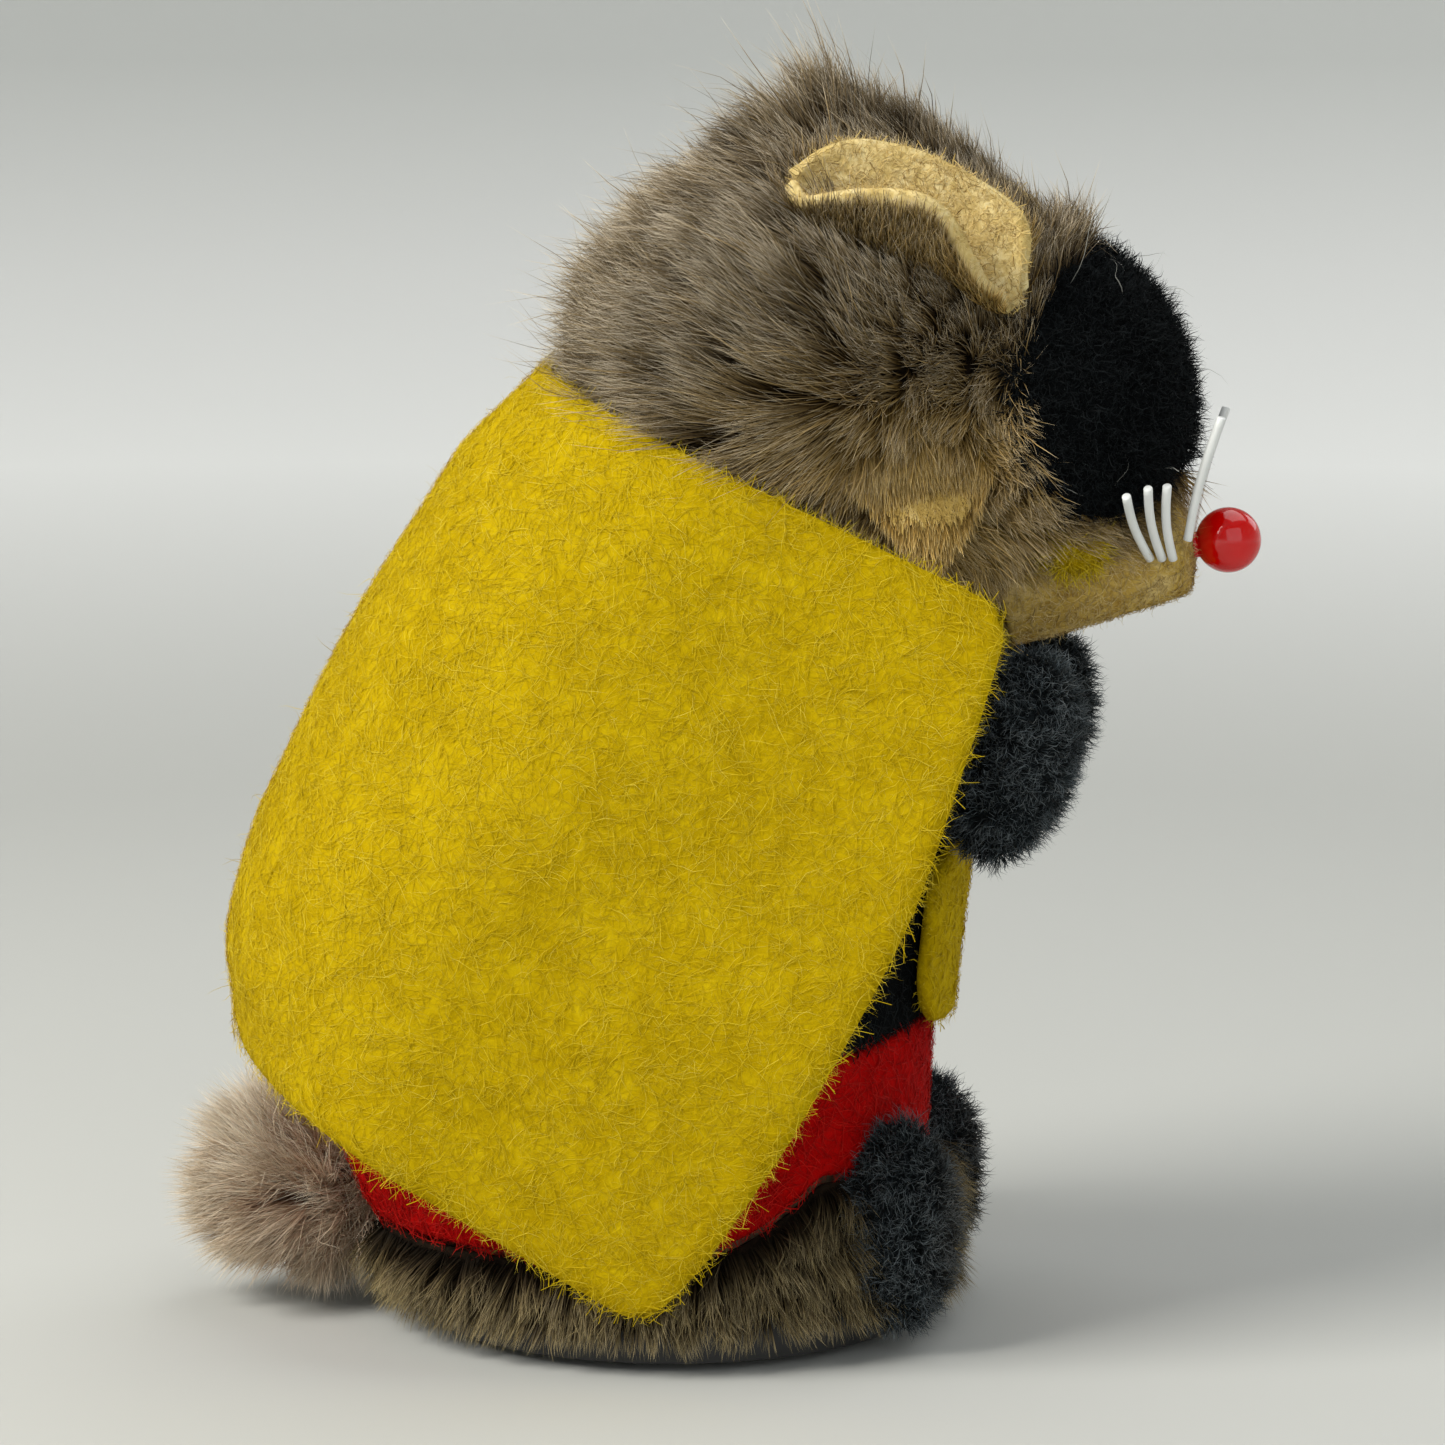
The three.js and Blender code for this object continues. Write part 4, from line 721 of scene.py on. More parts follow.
# Pressed wool felt scatters light every way, so it reads matt, with soft mottling and no shine.
YELLOW_FELT = WoolFelt("yellow_wool_felt", dark="a28702", middle="b39703", light="bea308")
RED_FELT = WoolFelt("red_wool_felt", dark="8a0202", middle="a80504", light="b80c09")
BLACK_FELT = WoolFelt("black_wool_felt", dark="030404", middle="080a0b", light="0e1011")
CREAM_FELT = WoolFelt("cream_wool_felt", dark="b59b5c", middle="d0b878", light="e8d8a4")
SNOUT_FELT = WoolFelt("snout_wool_felt", dark="957534", middle="c0a150", light="d8bf7e")
PLUSH_BACKING = WoolFelt("plush_backing_cloth", dark="120d08", middle="1e1710", light="2c231a")
CHENILLE_CORE = WoolFelt("chenille_core_cloth", dark="0a0c0d", middle="14181a", light="22272a")
TAIL_CORE = WoolFelt("tail_core_cloth", dark="3a2a1c", middle="5a4532", light="77604a")
BEIGE_BACKING = WoolFelt("beige_backing_cloth", dark="8a6f38", middle="b0934f", light="cdb478")

# Pile is dark at its roots and pale at its tips, so it shows dark where it parts and light where
# it lies brushed over. The dark roots are painted shade deep in the pile, and the pale tips are
# partly the pile's own colour and partly painted light.
PLUSH_PILE = Fibre(
    "taupe_plush_pile", spread=0.45,
    stops=((0.0, "0d0804"), (0.4, "2b2115"), (0.75, "6e6049"), (1.0, "d8ccb6")),
    others=((0.0, "3f2e12"), (0.35, "8a6c33"), (0.75, "bb9c5c"), (1.0, "dcc48c")))
# The tail's second, darker ramp gives random darker tufts and painted shade on its underside.
TAIL_PILE = Fibre(
    "pale_plush_pile", spread=0.25,
    stops=((0.0, "8a5a40"), (0.4, "cfae90"), (0.75, "e8dcc4"), (1.0, "f8f3e8")),
    others=((0.0, "4a2f1c"), (0.4, "856450"), (0.75, "a88e72"), (1.0, "c9b596")))
SKIRT_PILE = Fibre(
    "short_plush_pile", spread=0.45,
    stops=((0.0, "100c07"), (0.4, "2f271b"), (0.75, "655a45"), (1.0, "a39675")),
    others=((0.0, "100c07"), (0.4, "3a2e1a"), (0.75, "7d6b42"), (1.0, "b7a46c")))
CHENILLE_PILE = Fibre(
    "slate_chenille_pile", spread=0.4,
    stops=((0.0, "080a0b"), (0.5, "2a3134"), (1.0, "737b7f")),
    others=((0.0, "241c12"), (0.5, "4a4034"), (1.0, "8d8474")))
# Loose wool on a felt's face is a shade lighter than the felt, so the edge of a cloth looks soft.
YELLOW_FUZZ = Fibre(
    "yellow_wool_fibre", spread=0.09,
    stops=((0.0, "a98e02"), (0.5, "b99d03"), (1.0, "c6ab0a")),
    others=((0.0, "bda416"), (0.5, "cbb52e"), (1.0, "dccb66")))
RED_FUZZ = Fibre(
    "red_wool_fibre", spread=0.2,
    stops=((0.0, "900303"), (0.5, "b00806"), (1.0, "c01812")),
    others=((0.0, "a01510"), (0.5, "b8301f"), (1.0, "c9705a")))
BLACK_FUZZ = Fibre(
    "black_wool_fibre", spread=0.4,
    stops=((0.0, "050607"), (0.5, "0c0f10"), (1.0, "1d2224")),
    others=((0.0, "0c0f10"), (0.5, "1c2022"), (1.0, "3f4446")))
CREAM_FUZZ = Fibre(
    "cream_wool_fibre", spread=0.15,
    stops=((0.0, "c0a562"), (0.5, "d4bb7c"), (1.0, "e8d8a6")),
    others=((0.0, "6c5228"), (0.5, "8f7442"), (1.0, "b19a68")))
PALE_STRAY = Fibre(
    "stray_pale_fibre", spread=0.2,
    stops=((0.0, "8a8a84"), (0.5, "b0b0a8"), (1.0, "d2d2ca")),
    others=((0.0, "3a342c"), (0.5, "4a4238"), (1.0, "5c5448")))

# Injection-moulded ABS reads as an even satin; the bead is polished acrylic with a clear gloss.
BLACK_ABS = Moulded("black_abs_moulded", colour="0b0b0c", worn="141415", roughness=0.4)
WHITE_ABS = Moulded("white_abs_moulded", colour="d8d5ca", worn="e6e4dc", roughness=0.45)
TYRE_RUBBER = Moulded("black_rubber_moulded", colour="121212", worn="1f1e1d", roughness=0.85, relief=0.05)
RED_ACRYLIC = Moulded("red_acrylic_polished", colour="cc0301", worn="d20603", roughness=0.08, coat=0.1,
                      ior=1.49, relief=0.002)
NYLON_ROD = Moulded("white_nylon_drawn", colour="dfe1de", worn="eceeec", roughness=0.35, ior=1.53,
                    relief=0.01)
# Stamped brass reads warm and a little dull, turned steel cold and bright, blued spring steel dark,
# and tinned sheet pale, each with fine tool lines.
BRASS = Worked("brass_stamped", bright="c9a24a", dull="9a7830")
STEEL = Worked("steel_turned", bright="b4b6b8", dull="8b8d90", roughness=0.3)
BLUE_STEEL = Worked("spring_steel_blued", bright="3d4a60", dull="283042", roughness=0.3)
TINPLATE = Worked("steel_sheet_tinned", bright="c3c5c3", dull="9b9d9a", lines=0.3, roughness=0.38)
# Pressed pulp board and turned beech read matt, with short fibres in one and long grain in the other.
CARD = Pulp("pulp_board_pressed")
PEG_WOOD = Pulp("beech_turned", dark="7d6038", light="b0905c")


# ---------------------------------------------------------------------------
# Pieces
# ---------------------------------------------------------------------------


def finish_object(name: str, mesh: bpy.types.Mesh, finish: Finish) -> bpy.types.Object:
    """Makes a mesh one of the mouse's pieces.

    Args:
        name: The piece's name.
        mesh: Its mesh, in place.
        finish: What it is made of.

    Returns:
        The piece, riding on the mouse's body.
    """
    mesh.materials.append(finish.material())
    piece = bpy.data.objects.new(name, mesh)
    bpy.context.scene.collection.objects.link(piece)
    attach(piece, BODY)
    LOG.info("%s: %d faces", name, len(mesh.polygons))
    return piece


def mesh_of(name: str, points: Array, quads: Array, triangles: Array) -> bpy.types.Mesh:
    """Puts points in millimetres and faces into a new mesh.

    Args:
        name: The mesh's name.
        points: Places in millimetres.
        quads: Faces with four corners.
        triangles: Faces with three corners.

    Returns:
        A smooth-shaded mesh in metres.
    """
    mesh = bpy.data.meshes.new(name)
    mesh.vertices.add(len(points))
    mesh.vertices.foreach_set("co", (points * MM).astype(np.float32).ravel())
    corners = np.concatenate([quads.ravel(), triangles.ravel()]).astype(np.int32)
    starts = np.concatenate([np.arange(len(quads)) * 4, quads.size + np.arange(len(triangles)) * 3])
    mesh.loops.add(len(corners))
    mesh.loops.foreach_set("vertex_index", corners)
    mesh.polygons.add(len(starts))
    mesh.polygons.foreach_set("loop_start", starts.astype(np.int32))
    mesh.polygons.foreach_set("use_smooth", np.ones(len(starts), bool))
    mesh.update(calc_edges=True)
    return mesh


def solid_piece(name: str, shape: tuple[Array, Array, Array], finish: Finish,
                replaced: tuple[str, ...] = ()) -> bpy.types.Object:
    """A closed piece from its points and faces, standing for the CAD nodes it replaces.

    Args:
        name: The piece's name.
        shape: Points, four-cornered faces and three-cornered faces.
        finish: What it is made of.
        replaced: The CAD nodes that it stands for.

    Returns:
        The piece.
    """
    piece = finish_object(name, mesh_of(name, *shape), finish)
    if replaced:
        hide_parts(*replaced)
    return piece


@dataclass
class Growth:
    """How fibres grow from their roots.

    A fibre is the quadratic curve from its root, half its length along its first direction, then
    half its length along its last, moved by its pull. Its ribbon narrows from the root to a point.
    """

    first: Array
    last: Array
    length: Array
    width: float = 0.1
    pull: Array | float = 0.0
    lift: float = 0.0  # how high the middle stands off, for fibres that lie on a surface
    curl: float = 0.0  # radius of a fibre's turns
    turns: float = 1.0
    stations: int = 4
    tone: Array | float = 0.0
    luck: Array | None = None


CELLS = 32  # steps of luck and of tone that the baked map tells apart


def fibre_piece(name: str, roots: Roots, growth: Growth, finish: Fibre,
                rng: np.random.Generator) -> bpy.types.Object:
    """All the fibres of one region as one mesh of thin ribbons.

    Args:
        name: The piece's name.
        roots: Where the fibres grow.
        growth: How they grow.
        finish: Their finish.
        rng: The seeded source of luck.

    Returns:
        The piece, with the attribute "strand" and a map for baking whose cells are shared by
        fibres of the same luck and tone.
    """
    count, steps = len(roots.points), growth.stations
    share = np.linspace(0, 1, steps)[None, :, None]
    length = np.broadcast_to(growth.length, count)[:, None, None]
    first, last = unit(growth.first)[:, None], unit(growth.last)[:, None]
    bend = roots.points[:, None] + 0.5 * length * first
    tip = bend + 0.5 * length * last
    tip = tip + np.broadcast_to(growth.pull, (count, 3))[:, None]
    line = (1 - share) ** 2 * roots.points[:, None] + 2 * share * (1 - share) * bend + share ** 2 * tip
    line = line + roots.normals[:, None] * growth.lift * 4 * share * (1 - share)
    chord = unit(line[:, -1] - line[:, 0])
    across = unit(np.cross(chord, roots.normals) + 0.4 * rng.normal(size=(count, 3)))
    across = unit(laid(across, chord))
    if growth.curl:
        other = np.cross(chord, across)
        angle = 2 * np.pi * (growth.turns * share + rng.random((count, 1, 1)))
        ring = np.cos(angle) * across[:, None] + np.sin(angle) * other[:, None]
        line = line + growth.curl * share * ring
    thin = growth.width / 2 * (1 - share[:, :-1] ** 2) * rng.uniform(0.7, 1.3, (count, 1, 1))
    left = line[:, :-1] - across[:, None] * thin
    right = line[:, :-1] + across[:, None] * thin
    pairs = np.stack([left, right], axis=2).reshape(count, -1, 3)
    points = np.concatenate([pairs, line[:, -1:]], axis=1)
    size = 2 * steps - 1
    base = (np.arange(count) * size)[:, None, None]
    step = 2 * np.arange(steps - 2)[None, :, None]
    quads = (base + step + np.array([0, 1, 3, 2])).reshape(-1, 4)
    triangles = (base[:, 0] + np.array([size - 3, size - 2, size - 1])).reshape(-1, 3)
    mesh = mesh_of(name, points.reshape(-1, 3), quads, triangles)
    luck = rng.random(count) if growth.luck is None else growth.luck
    luck_cell = np.clip(luck * CELLS, 0, CELLS - 1).astype(int)
    tone_cell = np.clip(np.broadcast_to(growth.tone, count) * CELLS, 0, CELLS - 1).astype(int)
    along = np.append(np.repeat(np.linspace(0, 1, steps)[:-1], 2), 1.0)
    beside = np.append(np.tile([0.0, 1.0], steps - 1), 0.5)
    strand = np.empty((count, size, 3), np.float32)
    strand[..., 0] = along
    strand[..., 1] = ((luck_cell + 0.5) / CELLS)[:, None]
    strand[..., 2] = (tone_cell / (CELLS - 1))[:, None]
    mesh.attributes.new("strand", "FLOAT_VECTOR", "POINT").data.foreach_set("vector", strand.ravel())
    u = (luck_cell[:, None] + 0.1 + 0.8 * beside) / CELLS
    v = (tone_cell[:, None] + 0.1 + 0.8 * along) / CELLS
    corner_uv = np.stack([u, v], axis=-1).reshape(-1, 2)[np.concatenate([quads.ravel(), triangles.ravel()])]
    mesh.uv_layers.new(name="OFBake").data.foreach_set("uv", corner_uv.astype(np.float32).ravel())
    return finish_object(name, mesh, finish)


def lying_fuzz(name: str, roots: Roots, finish: Fibre, rng: np.random.Generator,
               length: tuple[float, float], width: float = 0.07, whorl: float = 9.0,
               stand: float = 0.03, tone: Array | float | None = None) -> bpy.types.Object:
    """Fibres matted on a felt's face: they lie along a swirling field, bent, and rise a little.

    Args:
        name: The piece's name.
        roots: Where the fibres start.
        finish: Their finish.
        rng: The seeded source of luck.
        length: The shortest and longest fibre.
        width: A fibre's width.
        whorl: The size of the field's whorls.
        stand: How far a fibre leaves the face, as a share of its length.
        tone: The lean to the second dye, or None for a draw.

    Returns:
        The piece.
    """
    count = len(roots.points)
    field = swirl(roots.points, whorl, 3) + 0.75 * rng.normal(size=(count, 3))
    flat = unit(laid(field, roots.normals))
    turn = np.cross(roots.normals, flat) * rng.normal(scale=0.8, size=(count, 1))
    rise = roots.normals * rng.normal(stand, stand, (count, 1))
    reach = rng.uniform(*length, count)
    sunk = Roots(roots.points - roots.normals * 0.05 - flat * reach[:, None] / 2, roots.normals,
                 roots.row, roots.col)
    tone = rng.random(count) ** 3 if tone is None else tone
    growth = Growth(flat + rise, unit(flat + turn) + rise, reach, width, lift=0.12, curl=0.3, turns=0.9,
                    tone=tone)
    return fibre_piece(name, sunk, growth, finish, rng)


def rim_fuzz(name: str, points: Array, outward: Array, finish: Fibre,
             rng: np.random.Generator, length: tuple[float, float], width: float = 0.09,
             tone: float = 0.6) -> bpy.types.Object:
    """Loose fibre ends along a cut edge.

    Args:
        name: The piece's name.
        points: Root places on the edge.
        outward: The way out of the cloth at each.
        finish: Their finish.
        rng: The seeded source of luck.
        length: The shortest and longest fibre.
        width: A fibre's width.
        tone: The lean to the second dye.

    Returns:
        The piece.
    """
    count = len(points)
    outward = unit(outward)
    first = outward + 0.7 * rng.normal(size=(count, 3))
    last = outward * 0.5 + 0.9 * rng.normal(size=(count, 3))
    reach = length[0] + (length[1] - length[0]) * rng.random(count) ** 2
    roots = Roots(points, outward, np.zeros(count), np.zeros(count))
    growth = Growth(first, last, reach, width, curl=0.25, turns=0.8, tone=tone)
    return fibre_piece(name, roots, growth, finish, rng)


def edge_draw(skin: Skin, keep: Array | None, count: int, thickness: float,
              rng: np.random.Generator) -> tuple[Array, Array]:
    """Draws places on the outline of a sheet.

    Args:
        skin: The sheet's surface.
        keep: Which of its cells are cloth, or None for all.
        count: How many places.
        thickness: The sheet's thickness, over which the places spread.
        rng: The seeded source of luck.

    Returns:
        The places, and the way out of the cloth at each.
    """
    a, b, c, d = skin.corners()
    keep = np.ones(a.shape, bool) if keep is None else keep
    padded = np.pad(keep, 1)
    if skin.wrap:
        padded[1:-1, 0], padded[1:-1, -1] = keep[:, -1], keep[:, 0]
    flat, normals = skin.points.reshape(-1, 3), skin.normals.reshape(-1, 3)
    starts, ends, outs = [], [], []
    for beside, start, end in ((padded[:-2, 1:-1], a, b), (padded[1:-1, 2:], b, c),
                               (padded[2:, 1:-1], c, d), (padded[1:-1, :-2], d, a)):
        rim = keep & ~beside
        starts.append(flat[start[rim]])
        ends.append(flat[end[rim]])
        outs.append(np.cross(ends[-1] - starts[-1], normals[start[rim]]))
    first, second, out = (np.concatenate(x) for x in (starts, ends, outs))
    reach = np.linalg.norm(second - first, axis=-1)
    pick = rng.choice(len(first), count, p=reach / reach.sum())
    share = rng.random((count, 1))
    facing = unit(out[pick])
    up = unit(np.cross(facing, second[pick] - first[pick]))
    places = first[pick] * (1 - share) + second[pick] * share
    return places + up * rng.uniform(-0.4, 0.4, (count, 1)) * thickness - facing * 0.15, facing


# ---------------------------------------------------------------------------
# Body form, and the clothes that follow it
# ---------------------------------------------------------------------------


@dataclass
class BodyForm:
    """The pear-shaped body: ovals about a line that leans forward as it rises.

    Each section is the share up the body, then how far ahead and how high its middle is, its
    forward tilt in degrees, and its half length and half width.
    """

    sections: tuple[tuple[float, ...], ...] = (
        (0, 0, 4.3, 0, 20.4, 18.8),
        (0.15, -3, 10.4, 4, 23, 19.6),
        (0.35, -4.5, 21.6, 10, 25, 20),
        (0.6, -2, 39.4, 18, 24.5, 19),
        (0.8, 3, 54.4, 26, 22, 16.5),
        (1, 8.5, 67.9, 32, 17, 13),
    )

    def values(self, share: Array) -> list[Array]:
        """Each of a section's numbers at any share, by the one quintic through all six sections."""
        table = np.array(self.sections)
        shares = table[:, 0]
        fitted = [np.polyfit(shares, table[:, i], len(shares) - 1) for i in range(1, 6)]
        return [np.polyval(f, share) for f in fitted]

    def surface(self, share: Array, turn: Array, offset: float = 0.0) -> Array:
        """Points on the body.

        Args:
            share: How far up the body, from 0 to 1.
            turn: The angle from straight ahead towards the left side.
            offset: How far off the surface.

        Returns:
            The section's middle, plus its grown half length times the cosine of the turn along its
            tilted forward line, plus its grown half width times the sine to the left.
        """
        front, height, tilt, length, width = self.values(share)
        lean = np.radians(tilt)
        along = (length + offset) * np.cos(turn)
        return ahead(front + along * np.cos(lean), height - along * np.sin(lean),
                     (width + offset) * np.sin(turn))


@dataclass
class Cape:
    """A rectangle of yellow felt round the back, in a U that leans forward with the body."""

    form: BodyForm
    lean: float = 25.0
    bottom: float = 3.8
    length: float = 65.1
    half_width: float = 22.6
    back: float = -47.9
    front: float = 3.7
    round_depth: float = 25.0
    thickness: float = 1.4
    back_rise: float = 3.2  # how much higher the hem is behind than at the front
    corner: float = 3.6  # how far the cut corners are rounded
    key_hole: float = 3.4
    rows: int = 84
    cols: int = 160
    # share up the cape, then how far the back line, the front edge and the width swell
    swell: tuple[tuple[float, ...], ...] = (
        (0, 4.6, -3.2, 1.09), (0.12, 0.8, -1.2, 1.09), (0.3, -1, 0.6, 1.07),
        (0.6, -0.4, 1.6, 1.0), (0.85, 2.0, -0.2, 0.86), (1, 5.4, -1.6, 0.76))
    skin: Skin = field(init=False)

    def outline(self, share: Array) -> Array:
        """The U's plan at a share along it: straight wings and half an ellipse, at even length."""
        fine = np.linspace(0, 1, 400)
        turn = np.pi * np.clip((fine - 0.2) / 0.6, 0, 1)
        bow = self.back + self.round_depth
        wing = np.where(fine < 0.2, fine / 0.2, (1 - fine) / 0.2).clip(0, 1)
        side = self.half_width * np.cos(turn)
        depth = np.where((fine < 0.2) | (fine > 0.8), self.front + (bow - self.front) * wing,
                         bow - self.round_depth * np.sin(turn))
        plan = np.stack([side, depth], axis=-1)
        gone = np.append(0, np.cumsum(np.linalg.norm(np.diff(plan, axis=0), axis=-1)))
        return np.stack([np.interp(share * gone[-1], gone, plan[:, i]) for i in (0, 1)], axis=-1)

    def shape(self) -> Skin:
        """The cape's middle surface, its corners rounded and its cloth a little uneven."""
        v, u = np.meshgrid(np.linspace(0, 1, self.rows), np.linspace(0, 1, self.cols), indexing="ij")
        square = self.bent(u, v)
        width = 2 * (self.front - self.back) + 0.57 * 2 * self.half_width
        from_side = np.clip(np.minimum(u, 1 - u) * width / self.corner, 0, 1)
        from_end = np.clip(np.minimum(v, 1 - v) * self.length / self.corner, 0, 1)
        pull = 0.3 * (1 - from_side) ** 2 * (1 - from_end) ** 2 * self.corner
        u = u + np.sign(0.5 - u) * pull / width
        v = v + np.sign(0.5 - v) * pull / self.length
        return Skin(self.bent(u, v) + (settled(square, "cape") - square)).uneven(0.45, 13, 5)

    def bent(self, u: Array, v: Array) -> Array:
        """Where a share along the U and a share up the cape lie.

        Args:
            u: Shares along the U, from the left wing to the right one.
            v: Shares up the cape.

        Returns:
            The plan's points, swelled back, forward and sideways by the share up, and leaned.
        """
        plan = self.outline(u)
        table = np.array(self.swell)
        back, front, widen = (
            smooth_line(table[:, [i]], np.interp(v, table[:, 0], np.linspace(0, 1, len(table))))[..., 0]
            for i in (1, 2, 3))
        along = (plan[..., 1] - self.back) / (self.front - self.back)
        side = plan[..., 0] * widen
        depth = plan[..., 1] + back * (1 - along) + front * along
        up = self.bottom + v * self.length + self.back_rise * (1 - along) * (1 - v) ** 2
        c, s = np.cos(np.radians(self.lean)), np.sin(np.radians(self.lean))
        return ahead(depth * c + up * s, up * c - depth * s, side)

    def build(self) -> None:
        """Builds the felt, the fibres matted on it and the fringe of its cut edges."""
        rng = np.random.default_rng(11)
        self.skin = self.shape()
        keep = clear_of_arbor(self.skin, self.key_hole)
        felt = solid_piece("cape_felt", self.skin.thick(self.thickness, keep), YELLOW_FELT,
                           ("cape",))
        outer = self.skin.lifted(self.thickness / 2)
        inner = Skin(self.skin.lifted(-self.thickness / 2).points[:, ::-1])
        halves = (("right", slice(0, self.cols // 2 + 1)), ("left", slice(self.cols // 2, None)))
        for word, columns in halves:
            half = Skin(outer.points[:, columns])
            planted = keep[:, columns][:, :half.points.shape[1] - 1]
            roots = half.scatter(26000, rng, planted.astype(float))
            lying_fuzz(f"cape_fibres_{word}", roots, YELLOW_FUZZ, rng,
                                   (1.6, 4.0), 0.05)
        lining = inner.scatter(5000, rng, keep[:, ::-1].astype(float))
        lying_fuzz("cape_lining_fibres", lining, YELLOW_FUZZ, rng, (1.6, 4))
        edge, out = edge_draw(self.skin, keep, 6000, self.thickness, rng)
        rim_fuzz("cape_edge_fibres", edge, out, YELLOW_FUZZ, rng, (0.3, 1.6),
                             0.055)
        loose = outer.scatter(1500, rng, keep.astype(float))
        rim_fuzz("cape_loose_fibres", loose.points, loose.normals, YELLOW_FUZZ,
                             rng, (0.8, 3.0), 0.045, tone=0.5)


@dataclass
class Clothes:
    """Trousers, vest and chest patch of felt, glued over the body."""

    form: BodyForm
    felt: float = 1.4
    gap: float = 0.3
    hem: float = 8.6
    front_hem: float = 14.6
    trouser_top: float = 0.375
    vest_bottom: float = 0.385
    waist_rise: float = 0.135  # how much higher up the body the waist is in front
    vest_top: float = 0.97
    vest_back: float = -6.0
    patch_half_width: float = 8.0
    patch_heights: tuple[float, float] = (26.0, 40.8)
    key_hole: float = 2.6

    def hem_line(self, around: Array) -> Array:
        """The hem's height at places round the body: low behind, rising as a square in front."""
        forward = np.clip((-around[..., 1] - 2) / 12, 0, 1)
        return self.hem + (self.front_hem - self.hem) * forward ** 2

    def trousers(self, rng: np.random.Generator) -> None:
        """A band round the hips whose hem rises in front, over the legs."""
        rows, cols = 30, 210
        turn = -2 * np.pi * np.arange(cols) / cols
        middle = self.gap + self.felt / 2
        shares = np.linspace(0.0, self.trouser_top, 200)
        around = self.form.surface(shares[:, None], turn[None], middle)
        start = shares[np.argmax(around[..., 2] > self.hem_line(around), axis=0)]
        top = self.trouser_top + self.waist_rise * np.clip(np.cos(turn), 0, 1) ** 2
        share = start + (top - start) * np.linspace(0, 1, rows)[:, None]
        skin = Skin(self.form.surface(share, np.broadcast_to(turn, share.shape), middle)[:, ::-1], True)
        skin = skin.uneven(0.25, 9, 21)
        keep = clear_of_arbor(skin, self.key_hole)
        felt = solid_piece("trousers_felt", skin.thick(self.felt, keep), RED_FELT,
                           ("trousers",))
        roots = skin.lifted(self.felt / 2).scatter(10000, rng, keep.astype(float))
        fuzz = [lying_fuzz("trousers_fibres", roots, RED_FUZZ, rng, (1.5, 4), 0.09,
                           tone=0.15 * rng.random(len(roots.points)))]
        edge, out = edge_draw(skin, keep, 2500, self.felt, rng)
        fuzz.append(rim_fuzz("trousers_edge_fibres", edge, out, RED_FUZZ, rng, (0.4, 2), 0.07,
                             tone=0.25))

    def front_panel(self, name: str, node: str, offset: float, bottom: float, top: float, rise: float,
                    half_turn: Array, finish: WoolFelt, fuzz_finish: Fibre,
                    flat: tuple[float, float], rows: int, cols: int, rng: np.random.Generator) -> None:
        """A panel over the front of the body, between two shares and within a turn each way.

        Args:
            name: The piece's name.
            node: The CAD node that it replaces.
            offset: The distance from the body to the panel's middle.
            bottom: Its lowest share up the body.
            top: Its highest share.
            rise: How much higher its bottom edge is straight ahead.
            half_turn: For each row, the angle from straight ahead to its side edges.
            finish: Its felt.
            fuzz_finish: Its fibres.
            flat: Its cut size in metres.
            rows: Grid rows.
            cols: Grid columns.
            rng: The seeded source of luck.
        """
        turn = half_turn[:, None] * np.linspace(-1, 1, cols)[None]
        low = bottom + rise * np.clip(np.cos(turn[:1]), 0, 1) ** 2
        share = low + (top - low) * np.linspace(0, 1, rows)[:, None]
        skin = Skin(self.form.surface(share, turn, offset)).uneven(0.15, 7, 31)
        felt = solid_piece(name, skin.thick(self.felt), finish, (node,))
        area = flat[0] * flat[1] / MM ** 2
        roots = skin.lifted(self.felt / 2).scatter(int(3.5 * area), rng)
        edge, out = edge_draw(skin, None, int(1.6 * area), self.felt, rng)
        fuzz = [
            lying_fuzz(f"{name}_fibres", roots, fuzz_finish, rng, (1.2, 3.5), 0.09,
                       tone=0.25 * rng.random(len(roots.points))),
            rim_fuzz(f"{name}_edge_fibres", edge, out, fuzz_finish, rng, (0.4, 1.8), 0.07, tone=0.3),
        ]

    def build(self) -> None:
        """Builds the three garments."""
        rng = np.random.default_rng(23)
        self.trousers(rng)
        middle = self.gap + self.felt / 2
        share = np.linspace(self.vest_bottom, self.vest_top, 60)
        front, _, tilt, length, _ = self.form.values(share)
        reach = (-self.vest_back - front) / np.cos(np.radians(tilt)) / (length + middle)
        self.front_panel("vest_felt", "vest", middle, self.vest_bottom, self.vest_top, self.waist_rise,
                         np.arccos(np.clip(reach, -1, 1)), BLACK_FELT, BLACK_FUZZ,
                         (0.048, 0.042), 60, 76, rng)
        low, high = self.patch_heights
        shares = np.linspace(0.3, 0.97, 200)
        offset = 2 * self.gap + 1.5 * self.felt
        heights = self.form.surface(shares, np.zeros(200), offset)[:, 2]
        bottom, top = np.interp((low, high), heights, shares)
        rows = 44
        rounding = 1 - 0.35 * np.abs(np.linspace(-1, 1, rows)) ** 4
        width = self.form.values(np.linspace(bottom, top, rows))[4] + offset
        self.front_panel("chest_patch_felt", "chest_patch", offset, bottom, top, 0.0,
                         np.arcsin(self.patch_half_width * rounding / width), YELLOW_FELT, YELLOW_FUZZ,
                         (0.0165, 0.0155), rows, 48, rng)


# ---------------------------------------------------------------------------
# Head
# ---------------------------------------------------------------------------


